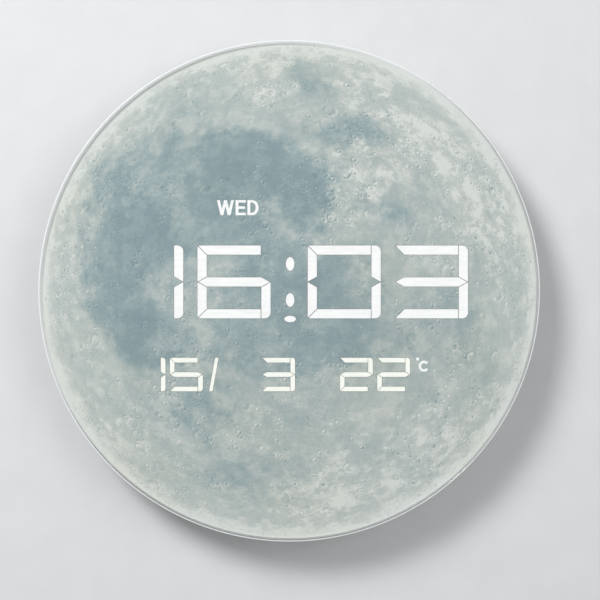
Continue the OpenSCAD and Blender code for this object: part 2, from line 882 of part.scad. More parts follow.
// Ring rib round the upper vents, ring rib through the bosses, and straight ribs between them
module cover_ribs() {
    translate([0, 0, wall_t / 2]) linear_extrude(wall_t / 2 + cover_rib_h) {
        for (r = [ring_rib_r, boss_circle_r]) difference() {
            circle(r = r + rib_t / 2);
            circle(r = r - rib_t / 2);
        }
        for (i = [0 : cover_rib_count - 1]) rotate((i + 0.5) * 360 / cover_rib_count)
            translate([ring_rib_r, -rib_t / 2]) square([boss_circle_r - ring_rib_r, rib_t]);
    }
}

module rear_cover() {
    bay_size = [door_l + door_travel + 2 * (move_clear + bay_wall), door_w + 2 * (move_clear + bay_wall)];
    hanger_seat = [hanger_w + 2 * seat_clear, hanger_h + 2 * seat_clear];
    hanger_size = hanger_seat + 2 * hanger_block_wall * [1, 1];
    recess_l = 2 * button_pitch + recess_w;
    color([0.09, 0.09, 0.1]) upright() difference() {
        union() {
            dish();
            cover_ribs();
            on_circle(boss_circle_r, cover_screw_angles) post(boss_d, wall_t / 2, cover_h);
            translate([-bay_x - door_travel / 2, bay_y]) block(bay_size, wall_t / 2, bay_back);
            translate([0, hanger_y]) block(hanger_size, wall_t / 2, pocket_floor + wall_t);
            translate([button_x, 0, wall_t / 2])
                linear_extrude(panel_in - wall_t / 2) slot_2d(recess_l + 2 * wall_t, recess_w + 2 * wall_t);
        }
        on_circle(boss_circle_r, cover_screw_angles) {
            post(screw_head_d + 2 * hole_clear, -over, screw_well);
            post(screw_d + 2 * hole_clear, 0, cover_h + over);
        }
        translate([-bay_x, bay_y]) {
            door_recess();
            cell_pocket();
        }
        translate([0, hanger_y]) {
            rounded_block(hanger_seat, hanger_corner_r + seat_clear, -over, hanger_in);
            block([pocket_w, pocket_h], 0, pocket_floor);
            at_places(hanger_screw_places)
                post(screw_d + 2 * thread_clear, 0, hanger_inset + hanger_screw_l + over);
        }
        translate([button_x, 0, -over]) linear_extrude(recess_depth + over) slot_2d(recess_l, recess_w);
        for (y = button_places) translate([button_x, y])
            post(button_d + 2 * move_clear, 0, panel_in + over);
        for (i = [0 : vent_count - 1])
            translate([(i - (vent_count - 1) / 2) * vent_pitch, vent_y, -over])
                linear_extrude(wall_t + 2 * over) slot_2d(vent_l, vent_w);
        for (i = [0 : low_vent_count - 1])
            translate([(i - (low_vent_count - 1) / 2) * vent_pitch, -low_vent_drop, -over])
                linear_extrude(wall_t + 2 * over) slot_2d(vent_l, vent_w);
    }
}

module cover_screws() {
    color("silver") upright() on_circle(boss_circle_r, cover_screw_angles)
        translate([0, 0, screw_well]) screw(screw_d, screw_head_d, screw_head_t, cover_screw_l);
}

// White reflector moulding: a plate with a stepped pocket for each guide,
// and below it a walled light well down to the board
module segment_frame() {
    plate_back = frame_front - frame_plate_t;
    color([0.93, 0.93, 0.91]) upright() difference() {
        union() {
            translate([0, 0, plate_back]) linear_extrude(frame_plate_t) frame_outline();
            translate([0, 0, frame_back]) linear_extrude(frame_h - frame_plate_t) {
                intersection() {
                    frame_outline();
                    every_cell(skirt_t);
                }
                difference() {
                    frame_outline();
                    frame_outline(frame_rim_t);
                }
            }
            at_places(frame_screw_places) post(frame_boss_d, frame_back, plate_back);
        }
        translate([0, 0, ledge_top]) linear_extrude(guide_t + over) every_cell(guide_clear);
        translate([0, 0, frame_back - over]) linear_extrude(frame_h + over) every_cell(-ledge_w);
        at_places(frame_screw_places)
            post(frame_screw_d + 2 * thread_clear, frame_back - over, board_back + frame_screw_l + over / 2);
    }
}

module lit_time_segments() color("white") guide_through() time_bars(true, false);
module lit_colon() color("white") guide_through() colon_dots();
module lit_date_segments() {
    color("white") guide_through() {
        date_bars(true, false);
        slash();
    }
}
module lit_temperature_segments() color("white") guide_through() temperature_bars(true, false);
module unlit_segments() {
    color([0.85, 0.86, 0.84]) guide_behind() {
        time_bars(false, true);
        date_bars(false, true);
        temperature_bars(false, true);
    }
}
module weekday_guides() color([0.85, 0.86, 0.84]) guide_behind() weekday_windows();
module unit_guide() color([0.85, 0.86, 0.84]) guide_behind() unit_window();

// LEDs on the board, one row along each bar, spread apart on level and on upright bars
module leds_of(row, d, y, size, level = 0, upright = 0) {
    for (cell = row, name = bar_names, s = level > 0 ? [-1, 1] : [0]) {
        flat = lies_flat(name);
        shift = flat ? [s * level, 0] : [0, s * upright];
        place = [cell[0], y] + bar_middle(name, d) + shift;
        translate(place) rotate(flat ? 0 : 90) block(size, frame_back, frame_back + size[2]);
    }
}
module large_led() block([led_l, led_w], frame_back, frame_back + led_h);
module time_leds() {
    color([0.95, 0.9, 0.6]) upright() {
        leds_of(time_row, time_digit, time_y, [led_l, led_w, led_h], led_spread, upright_spread);
        for (s = [-1, 1]) translate([colon_x, time_y + s * dot_rise]) rotate(90) large_led();
        translate([colon_x, time_y - low_dot_drop]) large_led();
    }
}
module small_leds() {
    size = [small_led_l, small_led_w, small_led_h];
    color([0.95, 0.9, 0.6]) upright() {
        leds_of(date_row, small_digit, small_y, size);
        leds_of(temperature_row, small_digit, small_y, size);
        translate([slash_x, small_y]) rotate(90)
            block([small_led_l, small_led_w], frame_back, frame_back + small_led_h);
    }
}
module legend_leds() {
    color([0.95, 0.9, 0.6]) upright() {
        for (i = [0 : weekday_count - 1], s = [-1, 1])
            translate([(i - (weekday_count - 1) / 2) * weekday_pitch + s * led_spread, weekday_y])
                large_led();
        translate([unit_x, unit_y]) large_led();
    }
}

module display_board() {
    color([0.06, 0.3, 0.14]) upright() translate([0, 0, board_back]) linear_extrude(board_t) difference() {
        flat_disc(board_r, board_bottom, board_top);
        on_circle(boss_circle_r, board_screw_angles) circle(d = screw_d + 2 * hole_clear);
        at_places(frame_screw_places) circle(d = frame_screw_d + 2 * hole_clear);
    }
}
module board_screws() {
    color("silver") upright() on_circle(boss_circle_r, board_screw_angles)
        translate([0, 0, board_back]) screw(screw_d, screw_head_d, screw_head_t, board_screw_l);
}
module frame_screws() {
    color("silver") upright() at_places(frame_screw_places) translate([0, 0, board_back])
        screw(frame_screw_d, frame_screw_head_d, frame_screw_head_t, frame_screw_l);
}

// Chip with two rows of leads that stand on the back of the board
module chip() {
    count = floor((chip_l - lead_w) / lead_pitch);
    block([chip_l, chip_w], board_back - chip_h, board_back - lead_t / 2);
    for (i = [0 : count], s = [-1, 1]) {
        translate([(i - count / 2) * lead_pitch, s * (chip_w + lead_foot) / 2])
            block([lead_w, lead_foot + lead_t], board_back - lead_t, board_back);
    }
}
module controller_chip() color([0.08, 0.08, 0.09]) upright() at_places([controller_place]) chip();
module driver_chips() color([0.08, 0.08, 0.09]) upright() at_places(driver_places) chip();
module crystal() {
    color("silver") upright() translate([crystal_place[0], crystal_place[1], board_back - crystal_d / 2])
        rotate([90, 0, 0]) cylinder(d = crystal_d, h = crystal_l, center = true);
}
module capacitors() {
    color([0.1, 0.12, 0.3]) upright() at_places(capacitor_places)
        translate([0, 0, board_back - capacitor_h]) rotate_extrude()
            rounded_profile(capacitor_d / 2, capacitor_h, capacitor_d / 8);
}
module temperature_sensor() {
    color([0.1, 0.1, 0.12]) upright() {
        translate([0, sensor_y, sensor_height]) sphere(d = sensor_d);
        for (s = [-1, 1]) wire([
            [s * sensor_lead_d, sensor_y, sensor_height],
            [s * sensor_spread, board_bottom + sensor_d, sensor_height],
            [s * sensor_spread, board_bottom + sensor_d, board_back]
        ], sensor_lead_d);
    }
}

// Power inlet on the side wall, drawn along the radius
module along_jack() {
    upright() rotate(-jack_angle) translate([0, 0, jack_height]) rotate([0, 90, 0]) children();
}
module dc_jack() {
    color([0.12, 0.12, 0.13]) along_jack() {
        difference() {
            union() {
                post(jack_rim_d, jack_face, jack_face + jack_rim_t);
                post(jack_bush_d, jack_end - jack_back_t, jack_face + over / 2);
            }
            post(jack_bore_d, jack_end, jack_face + jack_rim_t + over);
            post(jack_pin_d + 2 * thread_clear, jack_end - over, jack_end + over);
        }
        for (s = [-1, 1]) translate([0, s * lug_y])
            block([lug_w, lug_t], jack_tail, jack_end - jack_back_t + lug_t);
    }
}
module jack_pin() color("gold") along_jack() post(jack_pin_d, jack_end - over, jack_face);
module jack_nut() {
    color("silver") along_jack() difference() {
        translate([0, 0, jack_pad_in - nut_t]) cylinder(d = nut_w / cos(30), h = nut_t, $fn = 6);
        post(jack_bush_d + 2 * thread_clear, 0, jack_pad_in + over);
    }
}

// Two-pole header on the back of the board
module header() block([header_l, header_w], board_back - header_h, board_back);
module power_header() color("ivory") upright() at_places([power_header_place]) header();
module cell_header() color("ivory") upright() at_places([cell_header_place]) header();

// Two leads from the lugs of the power inlet to their header
module jack_leads() {
    inward = [-cos(jack_angle), sin(jack_angle), 0];
    across = [sin(jack_angle), cos(jack_angle), 0];
    color([0.55, 0.06, 0.05]) upright() for (s = [-1, 1]) {
        lug = s * lug_y * across - jack_tail * inward + [0, 0, jack_height];
        turn = lug + lug_l * inward;
        top = [
            power_header_place[0] + s * wire_pitch,
            power_header_place[1],
            board_back - header_h - lead_d
        ];
        wire([
            lug,
            lug + lead_d * inward,
            [turn[0], turn[1], top[2]],
            top,
            top + [0, 0, lead_d]
        ], lead_d);
    }
}

// Push buttons and the switches behind them
module at_button(i) upright() translate([button_x, button_places[i]]) children();
module tact_switches() {
    color([0.13, 0.13, 0.14]) for (i = [0 : len(button_places) - 1]) at_button(i) difference() {
        block([switch_w, switch_w], switch_face, board_back);
        post(plunger_d + 2 * move_clear, switch_face - over, switch_face + plunger_hole);
    }
}
module plunger(i) {
    color([0.1, 0.1, 0.1]) at_button(i) post(plunger_d, stem_end, switch_face + plunger_in);
}
module button(i) {
    color([0.2, 0.2, 0.21]) at_button(i) {
        translate([0, 0, button_out]) rotate_extrude()
            rounded_profile(button_d / 2, collar_out + over / 2 - button_out, button_edge_r);
        post(button_collar_d, collar_out, collar_out + button_collar_t);
        post(button_stem_d, collar_out, stem_end);
    }
}
module set_plunger() plunger(0);
module up_plunger() plunger(1);
module down_plunger() plunger(2);
module set_button() button(0);
module up_button() button(1);
module down_button() button(2);

// Sliding door over the coin cell, with tongues that run under the catches
module at_bay() upright() translate([-bay_x, bay_y]) children();
module battery_door() {
    groove_w = 1.2;
    groove_t = 0.5;
    groove_l = door_w / 2;
    tongue_l = catch_l + move_clear;
    color([0.09, 0.09, 0.1]) at_bay() difference() {
        rounded_block([door_l, door_w], door_corner_r, door_inset, door_in);
        for (s = [-1, 1])
            translate([door_l / 2 - tongue_l, s * (door_w / 2) - catch_w, 0])
                cube([tongue_l + over, 2 * catch_w, catch_t + move_clear]);
        for (i = [0 : 3]) translate([(2 * i + 2) * groove_w - door_l / 2, 0])
            block([groove_w, groove_l], 0, door_inset + groove_t);
    }
}
module coin_cell() {
    step = 1.2;
    step_t = 0.4;
    color("silver") at_bay() {
        post(cell_d, cell_outer, cell_inner - step_t);
        post(cell_d - 2 * step, cell_inner - step_t, cell_inner);
    }
}
module cell_contacts() {
    color("goldenrod") at_bay() {
        post(contact_d, bay_floor - contact_t, bay_floor);
        post(dimple_d, cell_inner, bay_floor);
        post(pin_d, bay_floor - contact_t, bay_back + pin_out);
        translate([0, cell_d / 2 + seat_clear + contact_t / 2])
            block([side_contact_w, contact_t], cell_outer, bay_floor);
        translate([0, side_contact_y]) {
            block([side_contact_w, pin_d], bay_floor - contact_t, bay_floor);
            post(pin_d, bay_floor - contact_t, bay_back + pin_out);
        }
    }
}
module cell_leads() {
    color([0.1, 0.1, 0.1]) upright() for (s = [0, 1]) {
        start = [-bay_x, bay_y + s * side_contact_y, bay_back + pin_out];
        top = [
            cell_header_place[0] + (2 * s - 1) * wire_pitch,
            cell_header_place[1],
            board_back - header_h - lead_d
        ];
        wire([start, start + [0, 0, lead_d], top, top + [0, 0, lead_d]], lead_d);
    }
}

// Steel plate with the keyhole that takes the wall screw
module at_hanger() upright() translate([0, hanger_y]) children();
module hanger_plate() {
    color("silver") at_hanger() translate([0, 0, hanger_inset]) difference() {
        linear_extrude(hanger_t) difference() {
            rounded_square([hanger_w, hanger_h], hanger_corner_r);
            translate([0, key_y]) circle(d = key_d);
            translate([-key_slot_w / 2, key_y]) square([key_slot_w, key_rise]);
            translate([0, key_y + key_rise]) circle(d = key_slot_w);
        }
        at_places(hanger_screw_places)
            sunk_screw(screw_d + 2 * hole_clear, screw_head_d + 2 * hole_clear, sunk_head_t, hanger_in);
    }
}
module hanger_screws() {
    color("silver") at_hanger() at_places(hanger_screw_places)
        translate([0, 0, hanger_inset]) sunk_screw(screw_d, screw_head_d, sunk_head_t, hanger_screw_l);
}

glass_disc();
moon_print();
bonding_tape();
housing_ring();
rear_cover();
cover_screws();
segment_frame();
lit_time_segments();
lit_colon();
lit_date_segments();
lit_temperature_segments();
unlit_segments();
weekday_guides();
unit_guide();
time_leds();
small_leds();
legend_leds();
display_board();
board_screws();
frame_screws();
controller_chip();
driver_chips();
crystal();
capacitors();
temperature_sensor();
dc_jack();
jack_pin();
jack_nut();
power_header();
jack_leads();
tact_switches();
set_plunger();
up_plunger();
down_plunger();
set_button();
up_button();
down_button();
battery_door();
coin_cell();
cell_contacts();
cell_header();
cell_leads();
hanger_plate();
hanger_screws();
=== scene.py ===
"""Looks of a round digital wall clock with a moon print behind its glass.

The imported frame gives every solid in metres: X to the right, Z up, the face along -Y, the wall at Y = 0.
Each finish and each sub-assembly is a class, and main() builds them in order.
"""

import logging
import math
from collections.abc import Sequence
from dataclasses import dataclass
from enum import Enum
from functools import cache

import bmesh
import bpy
from mathutils import Matrix, Vector


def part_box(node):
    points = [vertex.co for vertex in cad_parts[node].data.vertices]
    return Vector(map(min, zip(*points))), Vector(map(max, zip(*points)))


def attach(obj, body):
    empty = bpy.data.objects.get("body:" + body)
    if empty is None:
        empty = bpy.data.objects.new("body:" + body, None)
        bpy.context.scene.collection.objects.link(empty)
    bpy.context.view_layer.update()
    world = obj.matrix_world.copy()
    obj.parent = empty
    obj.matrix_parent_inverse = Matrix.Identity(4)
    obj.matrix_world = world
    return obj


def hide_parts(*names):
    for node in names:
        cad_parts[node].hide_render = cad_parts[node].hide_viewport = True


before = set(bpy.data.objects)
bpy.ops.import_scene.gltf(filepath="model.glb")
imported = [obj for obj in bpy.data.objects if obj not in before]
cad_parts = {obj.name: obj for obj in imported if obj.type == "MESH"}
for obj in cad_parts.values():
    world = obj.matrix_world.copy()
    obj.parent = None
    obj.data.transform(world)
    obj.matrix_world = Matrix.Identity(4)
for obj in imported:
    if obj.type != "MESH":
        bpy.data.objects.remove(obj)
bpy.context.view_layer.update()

LOG = logging.getLogger("wall_clock")
MM = 0.001
QUARTER = math.pi / 2.0
MERGE_DISTANCE = 1e-6
ROUND_STEPS = 20
# Values between which most of a cloud pattern lies.
CLOUD_SPAN = (0.3, 0.7)

Point = tuple[float, float, float]
Colour = tuple[float, float, float]
Box = tuple[Vector, Vector]
Socket = bpy.types.NodeSocket
Feed = Socket | float | tuple[float, ...]
Inputs = dict[str | int, Feed]

ORIGIN: Point = (0.0, 0.0, 0.0)
UNSTRETCHED: Point = (1.0, 1.0, 1.0)
WHITE: Colour = (1.0, 1.0, 1.0)


class Body(Enum):
    """Bodies of the clock that a new piece can ride on."""

    CLOCK = "clock"
    SET_KEY = "set_key"
    UP_KEY = "up_key"
    DOWN_KEY = "down_key"
    CELL_DOOR = "cell_door"


class Head(Enum):
    """Shapes of a screw's head."""

    PAN = "pan"
    SUNK = "sunk"


class Sign(Enum):
    """Shapes of a raised sign, where an arrow's value is the angle of its point from X towards Z."""

    RING = None
    UP = QUARTER
    DOWN = -QUARTER
    LEFT = math.pi


def grey(level: float) -> Colour:
    """Make a grey of one linear level."""
    return (level, level, level)


class Nodes:
    """Node tree of a material or of the world, with short calls for the nodes that both use."""

    def __init__(self, owner: bpy.types.ID) -> None:
        """Empty the owner's node tree.

        Args:
            owner: material or world.
        """
        owner.use_nodes = True
        self.tree = owner.node_tree
        self.tree.nodes.clear()

    def add(self, kind: str, **settings: object) -> bpy.types.Node:
        """Add one node.

        Args:
            kind: Blender's name for the kind of node.
            **settings: properties to set on it.

        Returns:
            The new node.
        """
        node = self.tree.nodes.new(kind)
        for key, value in settings.items():
            setattr(node, key, value)
        return node

    def feed(self, node: bpy.types.Node, inputs: Inputs) -> bpy.types.Node:
        """Link or set inputs of a node.

        Args:
            node: node to feed.
            inputs: by name or number, each a socket to link, a number, a vector or a colour.

        Returns:
            The same node.
        """
        for key, value in inputs.items():
            socket = node.inputs[key]
            if isinstance(value, bpy.types.NodeSocket):
                self.tree.links.new(value, socket)
            elif socket.type == "RGBA":
                socket.default_value = (*value, 1.0)
            else:
                socket.default_value = value
        return node

    def put(self, kind: str, inputs: Inputs, **settings: object) -> Socket:
        """Add a node, feed it and hand over its first output."""
        return self.feed(self.add(kind, **settings), inputs).outputs[0]

    def math(self, operation: str, first: Feed, *rest: Feed, clamp: bool = False) -> Socket:
        """Work out one sum along a row of values.

        Args:
            operation: Blender's name for the sum.
            first: first value.
            *rest: values that follow, none for a root.
            clamp: whether each result stays between 0 and 1.

        Returns:
            The result.
        """
        for value in rest or (0.0,):
            first = self.put("ShaderNodeMath", {0: first, 1: value}, operation=operation, use_clamp=clamp)
        return first

    def plus(self, *values: Feed) -> Socket:
        """Add values up."""
        return self.math("ADD", *values)

    def minus(self, first: Feed, second: Feed) -> Socket:
        """Take the second value from the first."""
        return self.math("SUBTRACT", first, second)

    def times(self, *values: Feed) -> Socket:
        """Multiply values."""
        return self.math("MULTIPLY", *values)

    def mix(self, factor: Feed, first: Socket, second: Socket) -> Socket:
        """Mix two shaders by the share of the second."""
        return self.put("ShaderNodeMixShader", {0: factor, 1: first, 2: second})

    def seen(self) -> Socket:
        """Tell what the camera looks at, also by a reflection or through glass, from what only sheds light.

        Returns:
            1 for what is looked at, otherwise 0.
        """
        rays = self.add("ShaderNodeLightPath").outputs
        looks = [rays[f"Is {kind} Ray"] for kind in ("Camera", "Glossy", "Transmission")]
        straight = self.math("LESS_THAN", rays["Diffuse Depth"], 0.5)
        return self.times(self.math("MAXIMUM", *looks), straight)


class Recipe(Nodes):
    """Node tree of one finish, whose patterns follow Object coordinates."""

    def __init__(self, name: str) -> None:
        """Start an empty material.

        Args:
            name: name of the material.
        """
        self.material = bpy.data.materials.new(name)
        super().__init__(self.material)
        self.place: Socket = self.add("ShaderNodeTexCoord").outputs["Object"]

    def vector(self, operation: str, first: Feed, second: Feed = ORIGIN) -> Socket:
        """Work out one vector sum.

        Args:
            operation: Blender's name for the sum.
            first: first vector.
            second: second vector, or the factor of SCALE.

        Returns:
            The resulting vector, or the number for DISTANCE.
        """
        node = self.add("ShaderNodeVectorMath", operation=operation)
        self.feed(node, {0: first, "Scale" if operation == "SCALE" else 1: second})
        return node.outputs["Value" if operation == "DISTANCE" else "Vector"]

    def split(self, vector: Socket) -> bpy.types.bpy_prop_collection:
        """Split a vector into its X, Y and Z."""
        return self.feed(self.add("ShaderNodeSeparateXYZ"), {0: vector}).outputs

    def mapped(self, shift: Feed = ORIGIN, scale: Feed = UNSTRETCHED) -> Socket:
        """Shift the Object coordinates by metres, then stretch them along X, Y and Z."""
        return self.vector("MULTIPLY", self.vector("SUBTRACT", self.place, shift), scale)

    def noise(
        self, waves: float, layers: float = 4.0, rough: float = 0.55, at: Socket | None = None,
    ) -> Socket:
        """Add a cloud pattern.

        Args:
            waves: waves to a unit of the coordinates.
            layers: number of finer layers.
            rough: strength of the finer layers.
            at: coordinates, the Object ones if None.

        Returns:
            The pattern, from 0 to 1.
        """
        place = self.place if at is None else at
        inputs = {"Vector": place, "Scale": waves, "Detail": layers, "Roughness": rough}
        return self.put("ShaderNodeTexNoise", inputs)

    def cells(self, count: float, at: Socket | None = None) -> bpy.types.Node:
        """Add a pattern of cells, counted to a unit, on the Object coordinates if none are given."""
        node = self.add("ShaderNodeTexVoronoi")
        return self.feed(node, {"Vector": self.place if at is None else at, "Scale": count})

    def span(self, value: Feed, low: float, high: float, first: float = 0.0, last: float = 1.0) -> Socket:
        """Ease a value from the range of low to high into that of first to last, and hold it beyond."""
        ends = {"From Min": low, "From Max": high, "To Min": first, "To Max": last}
        return self.put("ShaderNodeMapRange", {"Value": value, **ends}, interpolation_type="SMOOTHSTEP")

    def ramp(self, factor: Feed, stops: Sequence[tuple[float, Colour]]) -> Socket:
        """Colour a value by a row of stops.

        Args:
            factor: value from 0 to 1.
            stops: positions and colours, in rising order.

        Returns:
            The colour.
        """
        node = self.add("ShaderNodeValToRGB")
        row = node.color_ramp.elements
        for stop, (position, colour) in ((row[0], stops[0]), (row[1], stops[-1])):
            stop.position = position
            stop.color = (*colour, 1.0)
        for position, colour in stops[1:-1]:
            row.new(position).color = (*colour, 1.0)
        return self.feed(node, {"Fac": factor}).outputs["Color"]

    def blend(self, factor: Feed, first: Feed, second: Feed, mode: str = "MIX") -> Socket:
        """Mix two colours by the share of the second, in one of Blender's modes."""
        node = self.add("ShaderNodeMix", data_type="RGBA", blend_type=mode)
        return self.feed(node, {0: factor, 6: first, 7: second}).outputs[2]

    def bump(self, height: Feed, depth: float) -> Socket:
        """Turn a pattern into a normal, by the height in metres that 1 stands for."""
        return self.put("ShaderNodeBump", {"Height": height, "Distance": depth, "Strength": 1.0})

    def close(self, shader: Socket) -> bpy.types.Material:
        """Link a shader to the output and hand over the material."""
        self.feed(self.add("ShaderNodeOutputMaterial"), {"Surface": shader})
        return self.material

    def surface(self, inputs: Inputs) -> bpy.types.Material:
        """Close the recipe with one Principled shader of the given inputs."""
        return self.close(self.put("ShaderNodeBsdfPrincipled", inputs))


@dataclass(frozen=True)
class Finish:
    """Base of the finishes, each of which makes one material."""

    name: str

    def make(self) -> bpy.types.Material:
        """Build the material of this finish."""
        raise NotImplementedError


@dataclass(frozen=True)
class MouldedPlastic(Finish):
    """Moulded plastic with a spark-eroded skin, flow clouds and light handling marks."""

    colour: Colour
    worn: Colour
    grain: float = 0.9 * MM
    relief: float = 0.05 * MM
    roughness: float = 0.45
    cloud_waves: float = 11.0
    mark_waves: Point = (260.0, 40.0, 22.0)

    def make(self) -> bpy.types.Material:
        """Build the material of this finish."""
        recipe = Recipe(self.name)
        skin = recipe.noise(1.0 / self.grain, 2.0)
        clouds = recipe.noise(self.cloud_waves, 6.0)
        marks = recipe.noise(1.0, 5.0, 0.6, recipe.mapped(scale=self.mark_waves))
        rubs = recipe.span(marks, 0.6, 0.78, 0.0, 0.45)
        tone = recipe.blend(recipe.span(clouds, 0.3, 0.8, 0.0, 0.5), self.colour, self.worn)
        shine = recipe.span(clouds, *CLOUD_SPAN, self.roughness - 0.05, self.roughness + 0.06)
        return recipe.surface({
            "Base Color": recipe.blend(rubs, tone, self.worn),
            "Roughness": recipe.plus(shine, recipe.span(skin, *CLOUD_SPAN, -0.05, 0.06)),
            "Normal": recipe.bump(skin, self.relief),
        })


@dataclass(frozen=True)
class PlatedMetal(Finish):
    """Plated or rolled metal with drawn lines along one direction and dull blooms."""

    colour: Colour
    dull: Colour
    roughness: float = 0.3
    line_waves: Point = (40.0, 900.0, 1500.0)
    line_depth: float = 0.008 * MM
    bloom_waves: float = 130.0

    def make(self) -> bpy.types.Material:
        """Build the material of this finish."""
        recipe = Recipe(self.name)
        drawn = recipe.noise(1.0, 5.0, 0.6, recipe.mapped(scale=self.line_waves))
        blooms = recipe.noise(self.bloom_waves, 6.0, 0.6)
        tone = recipe.blend(recipe.span(blooms, 0.35, 0.75), self.colour, self.dull)
        shine = recipe.span(drawn, *CLOUD_SPAN, self.roughness - 0.08, self.roughness + 0.08)
        return recipe.surface({
            "Base Color": recipe.blend(recipe.span(drawn, 0.35, 0.75, 0.0, 0.4), tone, self.dull),
            "Metallic": 1.0,
            "Roughness": recipe.plus(shine, recipe.span(blooms, 0.4, 0.8, 0.0, 0.12)),
            "Normal": recipe.bump(drawn, self.line_depth),
        })


@dataclass(frozen=True)
class TurnedCan(Finish):
    """Steel can of a coin cell, polished in fine rings about its middle."""

    colour: Colour
    dull: Colour
    middle: Point
    ring_waves: float = 5200.0
    ring_depth: float = 0.01 * MM
    bloom_waves: float = 190.0

    def make(self) -> bpy.types.Material:
        """Build the material of this finish."""
        recipe = Recipe(self.name)
        reach = recipe.vector("DISTANCE", recipe.mapped(self.middle, (1.0, 0.0, 1.0)))
        rings = recipe.noise(self.ring_waves, 3.0, 0.6, recipe.put("ShaderNodeCombineXYZ", {"X": reach}))
        blooms = recipe.noise(self.bloom_waves, 5.0)
        tone = recipe.blend(recipe.span(blooms, 0.4, 0.75, 0.0, 0.6), self.colour, self.dull)
        return recipe.surface({
            "Base Color": recipe.blend(recipe.span(rings, 0.35, 0.7, 0.0, 0.5), tone, self.dull),
            "Metallic": 1.0,
            "Roughness": recipe.span(rings, *CLOUD_SPAN, 0.22, 0.36),
            "Normal": recipe.bump(rings, self.ring_depth),
        })


@dataclass(frozen=True)
class OpalGuide(Finish):
    """Opal light guide, cloudy in the mass, that glows where its lamps are lit."""

    colour: Colour
    deep: Colour
    light: Colour = WHITE
    dusk: Colour = WHITE
    glow: float = 0.0
    haze_waves: Point = (70.0, 300.0, 420.0)
    grain_waves: float = 2600.0
    grain_depth: float = 0.01 * MM

    def make(self) -> bpy.types.Material:
        """Build the material of this finish."""
        recipe = Recipe(self.name)
        haze = recipe.noise(1.0, at=recipe.mapped(scale=self.haze_waves))
        grain = recipe.noise(self.grain_waves, 2.0)
        share = recipe.span(haze, 0.3, 0.72)
        return recipe.surface({
            "Base Color": recipe.blend(share, self.colour, self.deep),
            "Roughness": recipe.span(grain, *CLOUD_SPAN, 0.3, 0.42),
            "Normal": recipe.bump(grain, self.grain_depth),
            "Emission Color": recipe.blend(share, self.light, self.dusk),
            "Emission Strength": self.glow,
        })


@dataclass(frozen=True)
class PolishedGlass(Finish):
    """Clear float glass, with a trace of green and of wiping marks, that lets lamp light through."""

    clear: Colour
    wiped: Colour
    shadow: Colour
    wipe_waves: Point = (7.0, 1.0, 13.0)

    def make(self) -> bpy.types.Material:
        """Build the material of this finish."""
        recipe = Recipe(self.name)
        wiping = recipe.noise(1.0, 5.0, 0.6, recipe.mapped(scale=self.wipe_waves))
        shader = recipe.put("ShaderNodeBsdfPrincipled", {
            "Base Color": recipe.blend(recipe.span(wiping, 0.4, 0.8), self.clear, self.wiped),
            "Roughness": 0.0,
            "IOR": 1.5,
            "Transmission Weight": 1.0,
        })
        passing = recipe.put("ShaderNodeBsdfTransparent", {"Color": self.shadow})
        rays = recipe.add("ShaderNodeLightPath").outputs
        for kind in ("Is Diffuse Ray", "Is Shadow Ray"):
            shader = recipe.mix(rays[kind], shader, passing)
        return recipe.close(shader)


@dataclass(frozen=True)
class FoamTape(Finish):
    """Cut edge and face of a closed-cell foam tape."""

    colour: Colour
    shade: Colour
    bubbles: float = 2600.0
    bubble_depth: float = 0.12 * MM
    cloud_waves: float = 90.0

    def make(self) -> bpy.types.Material:
        """Build the material of this finish."""
        recipe = Recipe(self.name)
        bubbles = recipe.cells(self.bubbles).outputs["Distance"]
        clouds = recipe.noise(self.cloud_waves, 5.0)
        tone = recipe.blend(recipe.span(bubbles, 0.1, 0.55, 0.7, 0.0), self.colour, self.shade)
        return recipe.surface({
            "Base Color": recipe.blend(recipe.span(clouds, 0.4, 0.75, 0.0, 0.4), tone, self.shade),
            "Roughness": recipe.span(bubbles, 0.1, 0.6, 0.7, 0.9),
            "Normal": recipe.bump(bubbles, self.bubble_depth),
        })


@dataclass(frozen=True)
class SolderMask(Finish):
    """Lacquered circuit board with copper tracks that show faintly through the lacquer."""

    mask: Colour
    track: Colour
    tracks: float = 210.0
    track_depth: float = 0.03 * MM
    weave_waves: float = 1500.0

    def make(self) -> bpy.types.Material:
        """Build the material of this finish."""
        recipe = Recipe(self.name)
        flat = recipe.mapped(scale=(1.0, 0.0, 1.0))
        grid = recipe.add("ShaderNodeTexVoronoi", distance="CHEBYCHEV", feature="DISTANCE_TO_EDGE")
        recipe.feed(grid, {"Vector": flat, "Scale": self.tracks, "Randomness": 0.75})
        tracks = recipe.span(grid.outputs["Distance"], 0.05, 0.09, 1.0, 0.0)
        return recipe.surface({
            "Base Color": recipe.blend(tracks, self.mask, self.track),
            "Roughness": recipe.span(recipe.noise(self.weave_waves, 2.0), *CLOUD_SPAN, 0.24, 0.38),
            "Normal": recipe.bump(tracks, self.track_depth),
        })


@dataclass(frozen=True)
class SoftSkin(Finish):
    """Soft rubber or a wire's sleeve, matt, with a dusty bloom."""

    colour: Colour
    dust: Colour
    roughness: float = 0.62
    skin_waves: float = 1900.0
    skin_depth: float = 0.02 * MM
    bloom_waves: float = 150.0

    def make(self) -> bpy.types.Material:
        """Build the material of this finish."""
        recipe = Recipe(self.name)
        skin = recipe.noise(self.skin_waves, 3.0)
        bloom = recipe.noise(self.bloom_waves, 5.0)
        return recipe.surface({
            "Base Color": recipe.blend(recipe.span(bloom, 0.35, 0.8, 0.0, 0.55), self.colour, self.dust),
            "Roughness": recipe.span(skin, *CLOUD_SPAN, self.roughness - 0.07, self.roughness + 0.08),
            "Normal": recipe.bump(skin, self.skin_depth),
            "Sheen Weight": 0.12,
        })


